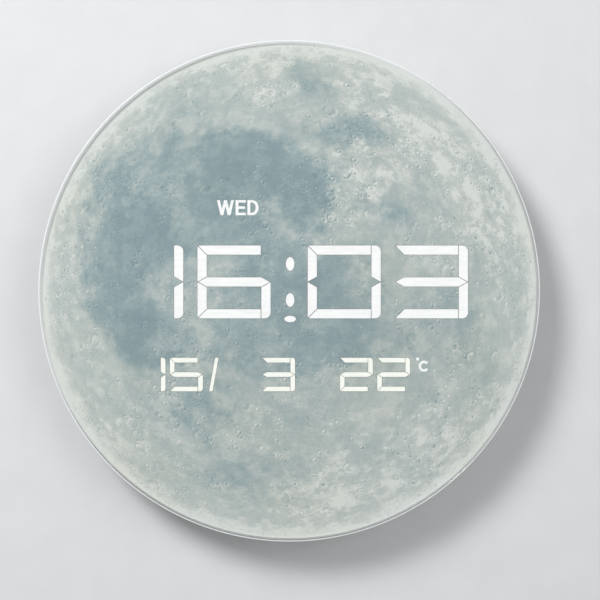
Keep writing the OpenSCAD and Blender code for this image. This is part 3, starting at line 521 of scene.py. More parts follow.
@dataclass(frozen=True)
class PlainWall(Finish):
    """Pale painted wall or floor that the picture shows from its front only."""

    colour: Colour
    shade: Colour
    shine: float = 0.0
    paint_waves: float = 34.0

    def make(self) -> bpy.types.Material:
        """Build the material of this finish."""
        recipe = Recipe(self.name)
        paint = recipe.noise(self.paint_waves, 5.0)
        matt = recipe.put("ShaderNodeBsdfPrincipled", {
            "Base Color": recipe.blend(recipe.span(paint, *CLOUD_SPAN), self.colour, self.shade),
            "Roughness": 1.0,
            "Specular IOR Level": 0.0,
            "Emission Color": self.colour,
            "Emission Strength": self.shine,
        })
        front = recipe.minus(1.0, recipe.add("ShaderNodeNewGeometry").outputs["Backfacing"])
        gone = recipe.put("ShaderNodeBsdfTransparent", {})
        return recipe.close(recipe.mix(recipe.times(recipe.seen(), front), gone, matt))


@dataclass(frozen=True)
class Blot:
    """Round patch on the moon's ball, seen on the disc.

    Attributes:
        x: millimetres to the right of the disc's middle.
        z: millimetres above it.
        radius: radius in millimetres.
        strength: how far the patch changes the tone, from 0 to 1.
    """

    x: float
    z: float
    radius: float
    strength: float


@dataclass(frozen=True)
class Mottle:
    """Clouds on the moon: waves to the ball's radius, finer layers, their strength, and change of tone."""

    waves: float
    layers: float
    rough: float
    depth: float = 1.0


@dataclass(frozen=True)
class Craters:
    """Craters of one size: cells to the ball's radius, share of cells that hold one, and change of tone."""

    cells: float
    share: float
    depth: float


MOON_PLAINS = (
    Blot(-25.0, 100.0, 34.0, 0.75), Blot(-55.0, 105.0, 28.0, 0.7), Blot(18.0, 80.0, 28.0, 0.8),
    Blot(35.0, 118.0, 17.0, 0.5), Blot(60.0, 132.0, 24.0, 0.55), Blot(76.0, 68.0, 21.0, 0.45),
    Blot(-85.0, 135.0, 20.0, 0.3), Blot(-110.0, 100.0, 34.0, 0.5), Blot(-145.0, 92.0, 26.0, 0.4),
    Blot(-145.0, 46.0, 36.0, 0.5), Blot(-118.0, 40.0, 34.0, 0.7), Blot(-136.0, -12.0, 34.0, 0.62),
    Blot(-110.0, -32.0, 34.0, 0.55), Blot(-78.0, 46.0, 40.0, 0.5), Blot(-40.0, 62.0, 30.0, 0.5),
    Blot(-10.0, 15.0, 38.0, 0.6), Blot(40.0, 10.0, 36.0, 0.45), Blot(-35.0, -38.0, 42.0, 0.5),
    Blot(34.0, -32.0, 36.0, 0.6), Blot(96.0, -28.0, 32.0, 0.32), Blot(138.0, -18.0, 24.0, 0.4),
    Blot(150.0, -62.0, 20.0, 0.25), Blot(12.0, 170.0, 22.0, 0.5), Blot(-74.0, -92.0, 28.0, 0.5),
    Blot(-40.0, -150.0, 36.0, 0.45), Blot(8.0, -102.0, 25.0, 0.12), Blot(-162.0, 0.0, 22.0, 0.3),
)
MOON_UPLANDS = (
    Blot(-90.0, 160.0, 30.0, 0.15), Blot(-15.0, 180.0, 30.0, 0.4), Blot(55.0, 160.0, 28.0, 0.55),
    Blot(96.0, 138.0, 20.0, 0.5), Blot(50.0, 92.0, 25.0, 0.75), Blot(86.0, 92.0, 19.0, 0.5),
    Blot(140.0, 85.0, 35.0, 0.85), Blot(170.0, 42.0, 28.0, 0.5), Blot(118.0, 116.0, 32.0, 0.65),
    Blot(44.0, 56.0, 20.0, 0.45), Blot(-150.0, -96.0, 42.0, 0.4), Blot(66.0, -150.0, 50.0, 0.45),
    Blot(130.0, -106.0, 42.0, 0.4), Blot(-4.0, -172.0, 40.0, 0.35),
)
MOON_RAYS = (
    Blot(146.0, 84.0, 70.0, 0.16), Blot(40.0, -165.0, 110.0, 0.14), Blot(96.0, 136.0, 26.0, 0.2),
    Blot(-124.0, 82.0, 26.0, 0.14), Blot(-34.0, 88.0, 20.0, 0.16),
)
MOON_TONES = (
    (0.05, (0.17, 0.255, 0.285)), (0.25, (0.235, 0.32, 0.35)), (0.45, (0.345, 0.42, 0.43)),
    (0.62, (0.46, 0.51, 0.5)), (0.78, (0.56, 0.583, 0.563)), (1.0, (0.74, 0.743, 0.722)),
)
# From a crater's dark floor over its bright rim to the plain tone, by share of its radius.
CRATER_TONES = ((0.0, grey(0.3)), (0.5, grey(0.38)), (0.76, grey(0.78)), (1.0, grey(0.5)))
# Least and greatest radius of a crater, as shares of its cell.
CRATER_RADII = (0.2, 0.48)
SHORE_JAGS = Mottle(13.0, 10.0, 0.7, 1.5)


class MoonRecipe(Recipe):
    """Recipe whose patterns lie on the moon's unit ball, of which the disc shows the near side."""

    def __init__(self, name: str, radius: float) -> None:
        """Wrap the disc's Object coordinates on the ball.

        Args:
            name: name of the material.
            radius: radius of the ball on the disc, in metres.
        """
        super().__init__(name)
        self.radius = radius
        parts = self.split(self.place)
        across, up = (self.math("DIVIDE", parts[axis], radius) for axis in ("X", "Z"))
        squares = self.plus(self.times(across, across), self.times(up, up))
        self.facing = self.math("SQRT", self.math("SUBTRACT", 1.0, squares, clamp=True))
        self.ball = self.put("ShaderNodeCombineXYZ", {"X": across, "Y": up, "Z": self.facing})

    def middle(self, blot: Blot) -> Point:
        """Find a patch's middle on the ball, whose third axis looks out of the disc."""
        across, up = (place * MM / self.radius for place in (blot.x, blot.z))
        return (across, up, math.sqrt(max(0.0, 1.0 - across * across - up * up)))

    def cloud(self, layer: Mottle) -> Socket:
        """Add a layer of clouds on the ball, from 0 to 1."""
        return self.noise(layer.waves, layer.layers, layer.rough, self.ball)

    def mottle(self, layer: Mottle) -> Socket:
        """Add a layer of clouds as a change of tone around 0."""
        return self.times(self.minus(self.cloud(layer), 0.5), layer.depth)

    def bend(self, waves: float, push: float) -> Socket:
        """Push the ball's coordinates about by clouds, so that round shapes get ragged.

        Args:
            waves: waves of the clouds to the ball's radius.
            push: how far they push.

        Returns:
            The bent coordinates.
        """
        cloud = self.add("ShaderNodeTexNoise")
        self.feed(cloud, {"Vector": self.ball, "Scale": waves, "Detail": 6.0, "Roughness": 0.62})
        way = self.vector("SUBTRACT", cloud.outputs["Color"], (0.5, 0.5, 0.5))
        return self.vector("ADD", self.ball, self.vector("SCALE", way, push))

    def patches(self, at: Socket, blots: Sequence[Blot], soft: float, torn_share: float = 0.42) -> Socket:
        """Lay patches over one another and tear their soft shores.

        Args:
            at: coordinates on the ball.
            blots: the patches.
            soft: width of a shore, as a share of the patch's radius.
            torn_share: share of the torn shores over the soft ones.

        Returns:
            How much of the patches shows, from 0 to 1.
        """
        bare: Feed = 1.0
        for blot in blots:
            away = self.vector("DISTANCE", at, self.middle(blot))
            reach = blot.radius * MM / self.radius
            left = self.span(away, reach * (1.0 - soft), reach * (1.0 + soft), 1.0 - blot.strength, 1.0)
            bare = self.times(bare, left)
        shown = self.minus(1.0, bare)
        torn = self.span(self.plus(shown, self.mottle(SHORE_JAGS)), 0.3, 0.72)
        return self.plus(self.times(shown, 1.0 - torn_share), self.times(torn, torn_share))

    def craters(self, at: Socket, crowd: Socket, sizes: Sequence[Craters]) -> Socket:
        """Strew craters, each a dark floor in a bright rim.

        Args:
            at: coordinates on the ball.
            crowd: how thickly they lie, around 1.
            sizes: the sizes of craters.

        Returns:
            Change of tone, around 0.
        """
        total: Feed = 0.0
        for size in sizes:
            cell = self.cells(size.cells, at)
            chance = self.feed(self.add("ShaderNodeSeparateColor"), {0: cell.outputs["Color"]}).outputs
            radius = self.span(chance["Green"], 0.0, 1.0, *CRATER_RADII)
            tone = self.ramp(self.math("DIVIDE", cell.outputs["Distance"], radius), CRATER_TONES)
            least = self.minus(1.0, self.times(crowd, size.share))
            there = self.math("GREATER_THAN", chance["Red"], least)
            total = self.plus(total, self.times(self.minus(tone, 0.5), there, size.depth))
        return total

    def streaks(self, blot: Blot, spot_share: float = 0.16) -> Socket:
        """Send bright rays out from one fresh crater.

        Args:
            blot: place, reach and strength of the rays.
            spot_share: radius of the bright spot in their middle, as a share of their reach.

        Returns:
            Brightness to add.
        """
        away = self.vector("DISTANCE", self.ball, self.middle(blot))
        towards = self.vector("NORMALIZE", self.vector("SUBTRACT", self.ball, self.middle(blot)))
        fan = self.span(self.noise(5.5, 4.0, 0.65, towards), 0.5, 0.72)
        reach = blot.radius * MM / self.radius
        beams = self.times(fan, self.span(away, 0.0, reach, 1.0, 0.0))
        spot = self.span(away, 0.0, reach * spot_share, 0.9, 0.0)
        return self.times(self.math("MAXIMUM", beams, spot), blot.strength)


@dataclass(frozen=True)
class MoonPrint(Finish):
    """Printed film with a full moon: dark plains, pale uplands, craters and rays, wrapped on a ball."""

    radius: float
    plains: tuple[Blot, ...] = MOON_PLAINS
    uplands: tuple[Blot, ...] = MOON_UPLANDS
    rays: tuple[Blot, ...] = MOON_RAYS
    tones: tuple[tuple[float, Colour], ...] = MOON_TONES
    drift: tuple[float, float] = (5.0, 0.4)
    plain_shore: float = 0.5
    upland_shore: float = 0.6
    mean_level: float = 0.64
    plain_depth: float = 0.44
    upland_gain: float = 0.25
    rim_facing: float = 0.4
    rim_gains: tuple[tuple[float, float], ...] = ((0.54, 0.34), (0.8, 0.12))
    mottles: tuple[Mottle, ...] = (
        Mottle(6.0, 10.0, 0.62, 0.4), Mottle(24.0, 8.0, 0.68, 0.36), Mottle(110.0, 5.0, 0.7, 0.4),
    )
    crust: Mottle = Mottle(12.0, 9.0, 0.6, 0.04)
    hue: Mottle = Mottle(2.6, 3.0, 0.5)
    crowd: Mottle = Mottle(4.5, 3.0, 0.5)
    crowd_range: tuple[float, float] = (0.22, 2.8)
    breakage: tuple[float, float] = (45.0, 0.016)
    walls: tuple[Craters, ...] = (Craters(13.0, 0.18, 0.5), Craters(37.0, 0.3, 0.6))
    pits: tuple[Craters, ...] = (
        Craters(9.0, 0.1, 0.2), Craters(19.0, 0.18, 0.36),
        Craters(48.0, 0.26, 0.5), Craters(100.0, 0.3, 0.4),
    )
    light_step: Point = (0.004, -0.004, 0.0)
    light_gain: float = 1.5
    warm: Colour = (1.03, 1.0, 0.94)
    backing: Colour = (0.62, 0.63, 0.63)
    thin_backing: Colour = (0.54, 0.55, 0.55)
    smear_waves: float = 24.0
    dot_waves: float = 5200.0
    dot_depth: float = 0.004 * MM

    def detail(self, recipe: MoonRecipe) -> Socket:
        """Lay clouds, a cracked crust, and craters with a lit and a shaded side.

        Args:
            recipe: the moon's recipe.

        Returns:
            Change of tone, around 0.
        """
        cracks = recipe.span(recipe.cloud(self.crust), 0.5, 0.57, -self.crust.depth, self.crust.depth)
        crowd = recipe.span(recipe.cloud(self.crowd), 0.42, 0.64, *self.crowd_range)
        broken = recipe.bend(*self.breakage)
        lower = recipe.vector("ADD", broken, self.light_step)
        near, far = (recipe.craters(at, crowd, self.walls) for at in (broken, lower))
        slope = recipe.times(recipe.minus(near, far), self.light_gain)
        pits = recipe.craters(broken, crowd, self.pits)
        return recipe.plus(cracks, slope, pits, *(recipe.mottle(layer) for layer in self.mottles))

    def make(self) -> bpy.types.Material:
        """Build the material of this finish."""
        recipe = MoonRecipe(self.name, self.radius)
        bent = recipe.bend(*self.drift)
        plains = recipe.patches(bent, self.plains, self.plain_shore)
        uplands = recipe.patches(bent, self.uplands, self.upland_shore)
        level = recipe.minus(self.mean_level, recipe.times(plains, self.plain_depth))
        level = recipe.plus(level, recipe.times(uplands, self.upland_gain))
        for facing, gain in self.rim_gains:
            level = recipe.plus(level, recipe.span(recipe.facing, self.rim_facing, facing, gain, 0.0))
        bare = recipe.plus(recipe.span(plains, 0.0, 0.9, 1.0, 0.72), uplands)
        level = recipe.plus(level, recipe.times(self.detail(recipe), bare))
        level = recipe.plus(level, *(recipe.streaks(blot) for blot in self.rays))
        warmth = recipe.span(recipe.cloud(self.hue), 0.42, 0.7, 0.0, 0.5)
        tint = recipe.blend(warmth, WHITE, self.warm)
        ink = recipe.blend(1.0, recipe.ramp(level, self.tones), tint, "MULTIPLY")
        smear = recipe.span(recipe.noise(self.smear_waves, 5.0), 0.35, 0.7)
        backing = recipe.blend(smear, self.backing, self.thin_backing)
        rear = recipe.split(recipe.add("ShaderNodeNewGeometry").outputs["Normal"])["Y"]
        dots = recipe.noise(self.dot_waves, 1.0)
        return recipe.surface({
            "Base Color": recipe.blend(recipe.span(rear, -0.6, -0.4), ink, backing),
            "Roughness": recipe.span(dots, *CLOUD_SPAN, 0.5, 0.62),
            "Normal": recipe.bump(dots, self.dot_depth),
            "Specular IOR Level": 0.25,
        })


SHELL = MouldedPlastic("black_moulding", (0.018, 0.018, 0.02), (0.045, 0.045, 0.047))
ZINC = PlatedMetal("zinc_plate", (0.6, 0.6, 0.61), (0.45, 0.45, 0.46))
BRASS = PlatedMetal("spring_brass", (0.7, 0.48, 0.2), (0.55, 0.38, 0.17), roughness=0.26)
SIGN_RUBBER = SoftSkin("sign_rubber", grey(0.2), grey(0.28))


@cache
def made(finish: Finish) -> bpy.types.Material:
    """Make a finish's material, once for all that share it."""
    return finish.make()


def dress(finish: Finish, *nodes: str) -> None:
    """Put a finish on CAD nodes.

    Args:
        finish: finish to put on.
        *nodes: names of the nodes.
    """
    for name in nodes:
        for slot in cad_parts[name].material_slots:
            slot.material = made(finish)
        LOG.info("dressed %s in %s", name, finish.name)


def island(start: bmesh.types.BMVert) -> set[bmesh.types.BMVert]:
    """Find every vertex that edges join to a first one.

    Args:
        start: vertex to start from.

    Returns:
        The vertices, with the first.
    """
    found = {start}
    walk = [start]
    while walk:
        for edge in walk.pop().link_edges:
            fresh = set(edge.verts) - found
            found |= fresh
            walk.extend(fresh)
    return found


def solid_boxes(node: str) -> list[Box]:
    """Find the boxes of the separate solids of a CAD node.

    Args:
        node: name of the node.

    Returns:
        Lowest and highest corner of each solid, from left to right.
    """
    mesh = bmesh.new()
    mesh.from_mesh(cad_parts[node].data)
    bmesh.ops.remove_doubles(mesh, verts=mesh.verts, dist=MERGE_DISTANCE)
    boxes = []
    left = set(mesh.verts)
    while left:
        solid = island(next(iter(left)))
        left -= solid
        axes = list(zip(*(vert.co for vert in solid)))
        boxes.append((Vector(map(min, axes)), Vector(map(max, axes))))
    mesh.free()
    return sorted(boxes, key=lambda box: (round(box[0].x, 5), box[0].z))


class Piece:
    """A bmesh that ends as one named piece of the clock."""

    def __init__(self, name: str) -> None:
        """Start an empty piece with its name."""
        self.name = name
        self.mesh = bmesh.new()

    def outline(self, points: Sequence[tuple[float, float]]) -> None:
        """Lay a flat face in the plane of the disc, by its corners in X and Z."""
        self.mesh.faces.new([self.mesh.verts.new((x, 0.0, z)) for x, z in points])

    def pull(self, edge: bmesh.types.BMEdge, way: tuple[float, float]) -> bmesh.types.BMEdge:
        """Draw a strip out of an edge.

        Args:
            edge: edge to start from.
            way: how far the strip goes in X and Z.

        Returns:
            The edge at the strip's far end.
        """
        drawn = bmesh.ops.extrude_edge_only(self.mesh, edges=[edge])["geom"]
        far = [part for part in drawn if isinstance(part, bmesh.types.BMVert)]
        bmesh.ops.translate(self.mesh, vec=(way[0], 0.0, way[1]), verts=far)
        return self.mesh.edges.get(far)

    def arc(self, inner: float, outer: float, start: float, sweep: float) -> tuple[bmesh.types.BMEdge, ...]:
        """Spin a flat arc about the origin.

        Args:
            inner: inner radius.
            outer: outer radius.
            start: angle of its first end, counted from X towards Z.
            sweep: angle that it turns through.

        Returns:
            The edges at its first and its last end.
        """
        way = Vector((math.cos(start), 0.0, math.sin(start)))
        first = self.mesh.edges.new([self.mesh.verts.new(way * inner), self.mesh.verts.new(way * outer)])
        spun = bmesh.ops.spin(
            self.mesh, geom=[*first.verts, first], cent=ORIGIN, axis=(0.0, -1.0, 0.0),
            angle=sweep, steps=ROUND_STEPS, use_merge=False,
        )["geom_last"]
        last = next(part for part in spun if isinstance(part, bmesh.types.BMEdge))
        return first, last

    def turn(self, profile: Sequence[tuple[float, float]], steps: int, closed: bool = False) -> None:
        """Turn a profile all the way round the disc's axis.

        Args:
            profile: its corners, each a radius and a place along Y.
            steps: steps of the turn.
            closed: whether the last corner joins the first.
        """
        corners = [self.mesh.verts.new((radius, along, 0.0)) for radius, along in profile]
        ahead = corners[1:] + corners[:1] if closed else corners[1:]
        sides = [self.mesh.edges.new(pair) for pair in zip(corners, ahead)]
        bmesh.ops.spin(
            self.mesh, geom=[*corners, *sides], cent=ORIGIN, axis=(0.0, 1.0, 0.0),
            angle=math.tau, steps=steps, use_merge=True,
        )

    def arrow(self, reach: float, point: float) -> None:
        """Lay a flat three-cornered arrow on the origin, its point at an angle from X towards Z."""
        lie = Matrix.Rotation(QUARTER - point, 4, "Y") @ Matrix.Rotation(QUARTER, 4, "X")
        bmesh.ops.create_circle(self.mesh, cap_ends=True, segments=3, radius=reach, matrix=lie)

    def merge(self) -> None:
        """Merge vertices that lie on one another."""
        bmesh.ops.remove_doubles(self.mesh, verts=self.mesh.verts, dist=MERGE_DISTANCE)

    def thicken(self, depth: float) -> None:
        """Extrude every face along -Y.

        Args:
            depth: how far, in metres.
        """
        grown = bmesh.ops.extrude_face_region(self.mesh, geom=self.mesh.faces[:])["geom"]
        top = [part for part in grown if isinstance(part, bmesh.types.BMVert)]
        bmesh.ops.translate(self.mesh, vec=(0.0, -depth, 0.0), verts=top)

    def soften(self, width: float, least: float = 0.6) -> None:
        """Round the edges that turn by more than an angle.

        Args:
            width: width of the rounding in metres.
            least: smallest turn that is rounded, in radians.
        """
        sharp = [edge for edge in self.mesh.edges if edge.calc_face_angle(0.0) > least]
        bmesh.ops.bevel(
            self.mesh, geom=sharp, offset=width, offset_type="OFFSET", affect="EDGES", segments=2,
            profile=0.5, material=-1, clamp_overlap=True,
        )

    def move(self, shift: Sequence[float]) -> None:
        """Move the whole piece by a vector in metres."""
        bmesh.ops.translate(self.mesh, vec=shift, verts=self.mesh.verts)

    def seat(self, box: Box, along: float, shift: float = 0.0) -> None:
        """Move the piece from the origin to the middle of a box, at a place along Y, with a shift in X."""
        middle = (box[0] + box[1]) / 2.0
        self.move((middle.x + shift, along, middle.z))

    def close(self) -> bpy.types.Mesh:
        """Merge doubles, turn all faces outwards and end the bmesh.

        Returns:
            The mesh.
        """
        self.merge()
        bmesh.ops.recalc_face_normals(self.mesh, faces=self.mesh.faces)
        data = bpy.data.meshes.new(self.name)
        self.mesh.to_mesh(data)
        self.mesh.free()
        return data

    def take(self, other: "Piece") -> None:
        """Close another piece and take its mesh in.

        Args:
            other: piece to take in.
        """
        data = other.close()
        self.mesh.from_mesh(data)
        bpy.data.meshes.remove(data)

    def hang(
        self, body: Body, finish: Finish, replaced: Sequence[str] = (), crease: float = 0.6,
    ) -> None:
        """Close the piece and hang it on its body.

        Args:
            body: body that it rides on.
            finish: its finish.
            replaced: CAD nodes that it stands for.
            crease: turn that shades as a sharp edge, in radians.
        """
        data = self.close()
        data.materials.append(made(finish))
        data.shade_smooth()
        data.set_sharp_from_angle(angle=crease)
        piece = bpy.data.objects.new(self.name, data)
        bpy.context.scene.collection.objects.link(piece)
        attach(piece, body.value)
        if replaced:
            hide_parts(*replaced)
        LOG.info("built %s on %s", self.name, body.value)


@dataclass
class GlassFront:
    """Glass disc, the moon film behind it, and the tape that bonds them to the housing."""

    glass: str = "glass_disc"
    film: str = "moon_print"
    tape: str = "bonding_tape"
    line_width: float = 0.3 * MM
    line_height: float = 0.03 * MM
    film_edge: float = 0.99
    flat_turn: float = 0.5
    bevel_width: float = 2.2 * MM
    bevel_depth: float = 1.4 * MM
    arris: float = 0.4 * MM
    edge_line: float = 0.9 * MM
    edge_skin: float = 0.01 * MM
    steps: int = 720
    crease: float = 0.3
    ball_swell: float = 1.1
    clear: Finish = PolishedGlass(
        "clear_glass", (0.985, 1.0, 0.995), (0.965, 0.985, 0.98), (0.93, 0.945, 0.94),
    )
    # Opaque skin on the bevel's outer band that glows with no lamp behind it: a painted highlight for the
    # glass's bright rim.
    ground: Finish = OpalGuide(
        "painted_rim_glow", (0.42, 0.45, 0.445), (0.36, 0.39, 0.385),
        light=(0.96, 1.0, 0.99), dusk=(0.88, 0.94, 0.93), glow=0.45,
    )
    # Flat dark strip laid on the walls of the film's openings, darker than the print round it.
    ink: Finish = MouldedPlastic("dark_opening_line", (0.12, 0.11, 0.11), (0.17, 0.16, 0.155), relief=0.004 * MM)
    foam: Finish = FoamTape("white_foam", (0.78, 0.78, 0.75), (0.6, 0.6, 0.57))

    def build_outlines(self) -> None:
        """Lay a dark line round every opening of the film, from the openings' own walls."""
        low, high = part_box(self.film)
        edge = (high.x - low.x) / 2.0 * self.film_edge
        piece = Piece("segment_outlines")
        piece.mesh.from_mesh(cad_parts[self.film].data)
        piece.merge()
        piece.mesh.normal_update()
        spare = [
            face for face in piece.mesh.faces
            if abs(face.normal.y) > self.flat_turn or face.calc_center_median().xz.length > edge
        ]
        bmesh.ops.delete(piece.mesh, geom=spare, context="FACES")
        bmesh.ops.solidify(piece.mesh, geom=piece.mesh.faces[:], thickness=self.line_width)
        flatter = self.line_height / (high.y - low.y)
        bmesh.ops.scale(piece.mesh, vec=(1.0, flatter, 1.0), verts=piece.mesh.verts)
        piece.move((0.0, low.y - high.y * flatter, 0.0))
        piece.hang(Body.CLOCK, self.ink)

    def build_disc(self) -> None:
        """Turn the glass disc finely, with its front bevel and rear arris, and an opaque glowing skin on
        the bevel that paints its bright rim highlight.
        """
        low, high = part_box(self.glass)
        reach = high.x
        rim = low.y + self.bevel_depth
        foot = high.y - self.arris
        disc = Piece("polished_disc")
        disc.turn((
            (0.0, low.y), (reach - self.bevel_width, low.y), (reach, rim), (reach, foot),
            (reach - self.arris, high.y), (0.0, high.y),
        ), self.steps)
        disc.hang(Body.CLOCK, self.clear, (self.glass,), self.crease)
        inner = reach - self.edge_line
        top = rim - self.edge_line * self.bevel_depth / self.bevel_width
        near, far = self.edge_skin, self.edge_skin * 3.0
        # Ring just outside the bevel whose glow paints the bright rim highlight.
        line = Piece("rim_glow_skin")
        line.turn((
            (inner + near, top - near), (reach + near, rim - near), (reach + near, foot),
            (reach + far, foot), (reach + far, rim - far), (inner + far, top - far),
        ), self.steps, closed=True)
        line.hang(Body.CLOCK, self.ground, crease=self.crease)

    def build(self) -> None:
        """Turn the disc, give the film and the tape their finishes and lay the dark outlines."""
        low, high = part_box(self.film)
        self.build_disc()
        dress(MoonPrint("moon_ink", (high.x - low.x) / 2.0 * self.ball_swell), self.film)
        dress(self.foam, self.tape)
        self.build_outlines()


@dataclass
class Display:
    """Segment frame, light guides, lamps, and the lit legends in the glue gap under the glass."""

    weekday: int = 2
    cap_height: float = 12.0 * MM
    letter_stroke: float = 2.3 * MM
    letter_bar: float = 1.95 * MM
    letter_widths: tuple[float, float, float] = (13.6 * MM, 8.2 * MM, 8.9 * MM)
    letter_space: float = 1.25 * MM
    middle_bar: float = 0.92
    bowl_share: float = 0.8
    unit_height: float = 8.9 * MM
    unit_width: float = 8.4 * MM
    unit_stroke: float = 2.0 * MM
    unit_gape: float = math.radians(37.0)
    unit_shift: tuple[float, float] = (1.3 * MM, -0.1 * MM)
    degree_radius: float = 1.3 * MM
    degree_shift: tuple[float, float] = (-3.7 * MM, 5.6 * MM)
    legend_lift: float = 0.3
    legend_depth: float = 0.4
    bright: Finish = OpalGuide(
        "lit_opal", grey(0.3), grey(0.26),
        light=(1.0, 0.985, 0.99), dusk=(0.94, 0.925, 0.935), glow=0.72,
    )
    soft: Finish = OpalGuide(
        "soft_lit_opal", (0.3, 0.3, 0.28), (0.26, 0.27, 0.24),
        light=(1.0, 0.995, 0.94), dusk=(0.96, 0.97, 0.9), glow=0.72,
    )
    unlit: Finish = OpalGuide("unlit_opal", (0.62, 0.63, 0.62), (0.52, 0.54, 0.53))
    reflector: Finish = MouldedPlastic(
        "white_reflector", (0.78, 0.78, 0.75), (0.68, 0.68, 0.65), relief=0.02 * MM,
    )
    package: Finish = OpalGuide("led_package", (0.85, 0.68, 0.2), (0.7, 0.6, 0.28))

    def letter_w(self, piece: Piece, left: float) -> None:
        """Lay the outline of a W.

        Args:
            piece: piece to add to.
            left: its left edge in X.
        """
        height, wide, arm = self.cap_height, self.letter_widths[0], self.letter_stroke
        middle = wide / 2.0
        foot = (middle + arm / 2.0) / 2.0
        notch = arm / (middle - arm / 2.0)
        notch_x = foot - arm / 2.0 + (middle - foot) * notch
        peak = (middle - foot - arm / 2.0) / (middle - foot)
        half = [(0.0, height), (arm, height), (notch_x, notch * height), (middle - arm / 2.0, height)]
        under = [(middle, peak * height), (foot + arm / 2.0, 0.0), (foot - arm / 2.0, 0.0)]
        mirrored = [(wide - x, z) for x, z in reversed(half)]
        feet = [(wide - x, z) for x, z in reversed(under[1:])]
        piece.outline([(left + x, z - height / 2.0) for x, z in (*half, *mirrored, *feet, *under)])

    def letter_e(self, piece: Piece, left: float) -> None:
        """Lay an E from a stem and three strips.

        Args:
            piece: piece to add to.
            left: its left edge in X.
        """
        top, wide, arm = self.cap_height / 2.0, self.letter_widths[1], self.letter_bar
        corners = [piece.mesh.verts.new((left + x, 0.0, top)) for x in (0.0, self.letter_stroke)]
        cap = piece.mesh.edges.new(corners)
        gap = (2.0 * top - 3.0 * arm) / 2.0
        for step, bar in ((arm, 1.0), (gap, 0.0), (arm, self.middle_bar), (gap, 0.0), (arm, 1.0)):
            above = cap
            cap = piece.pull(above, (0.0, -step))
            if bar:
                right = [max(edge.verts, key=lambda vert: vert.co.x) for edge in (above, cap)]
                piece.pull(piece.mesh.edges.get(right), (wide * bar - self.letter_stroke, 0.0))

    def letter_d(self, piece: Piece, left: float) -> None:
        """Spin the bowl of a D and draw its stem.

        Args:
            piece: piece to add to.
            left: its left edge in X.
        """
        half, wide = self.cap_height / 2.0, self.letter_widths[2]
        arm, bar = self.letter_stroke, self.letter_bar
        bulge = half * self.bowl_share
        straight = wide - arm - bulge
        between = half - bar / 2.0
        foot, head = piece.arc(half - bar, half, -QUARTER, math.pi)
        bowl = island(foot.verts[0])
        outer = [vert for vert in bowl if vert.co.length > between]
        inner = [vert for vert in bowl if vert.co.length < between]
        bmesh.ops.scale(piece.mesh, vec=(bulge / half, 1.0, 1.0), verts=outer)
        bmesh.ops.scale(piece.mesh, vec=((bulge - arm) / (half - bar), 1.0, 1.0), verts=inner)
        bmesh.ops.translate(piece.mesh, vec=(left + arm + straight, 0.0, 0.0), verts=list(bowl))
        piece.pull(foot, (-straight, 0.0))
        stem = piece.pull(piece.pull(head, (-straight, 0.0)), (-arm, 0.0))
        lower = piece.mesh.edges.get([
            vert for face in stem.link_faces for vert in face.verts if vert.co.z < between
        ])
        for step in (self.cap_height - 2.0 * bar, bar):
            lower = piece.pull(lower, (0.0, -step))

    def light(self, piece: Piece, window: Box) -> None:
        """Give flat letters a thickness and lay them over their window, between the film and the glass.

        Args:
            piece: the letters, about the origin.
            window: box of the light guide behind them.
        """
        film_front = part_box("moon_print")[0].y
        gap = film_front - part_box("glass_disc")[1].y
        piece.merge()
        piece.thicken(self.legend_depth * gap)
        piece.seat(window, film_front - self.legend_lift * gap)
        piece.hang(Body.CLOCK, self.bright)

    def build_weekday(self) -> None:
        """Build the lit weekday legend."""
        piece = Piece("weekday_legend")
        left = -(sum(self.letter_widths) + 2.0 * self.letter_space) / 2.0
        for width, lay in zip(self.letter_widths, (self.letter_w, self.letter_e, self.letter_d)):
            lay(piece, left)
            left += width + self.letter_space
        self.light(piece, solid_boxes("weekday_guides")[self.weekday])

    def build_unit(self) -> None:
        """Build the lit degree sign and its letter."""
        piece = Piece("unit_legend")
        half = self.unit_height / 2.0
        piece.arc(half - self.unit_stroke, half, self.unit_gape, math.tau - 2.0 * self.unit_gape)
        narrow = self.unit_width / self.unit_height
        bmesh.ops.scale(piece.mesh, vec=(narrow, 1.0, 1.0), verts=piece.mesh.verts)
        piece.move((self.unit_shift[0], 0.0, self.unit_shift[1]))
        spot = Matrix.Translation((self.degree_shift[0], 0.0, self.degree_shift[1]))
        bmesh.ops.create_circle(
            piece.mesh, cap_ends=True, segments=ROUND_STEPS, radius=self.degree_radius,
            matrix=spot @ Matrix.Rotation(QUARTER, 4, "X"),
        )
        self.light(piece, solid_boxes("unit_guide")[0])

    def build(self) -> None:
        """Dress the display and build its legends."""
        dress(self.bright, "lit_time_segments", "lit_colon")
        dress(self.soft, "lit_date_segments", "lit_temperature_segments")
        dress(self.unlit, "unlit_segments", "weekday_guides", "unit_guide")
        dress(self.reflector, "segment_frame")
        dress(self.package, "time_leds", "small_leds", "legend_leds")
        self.build_weekday()
        self.build_unit()


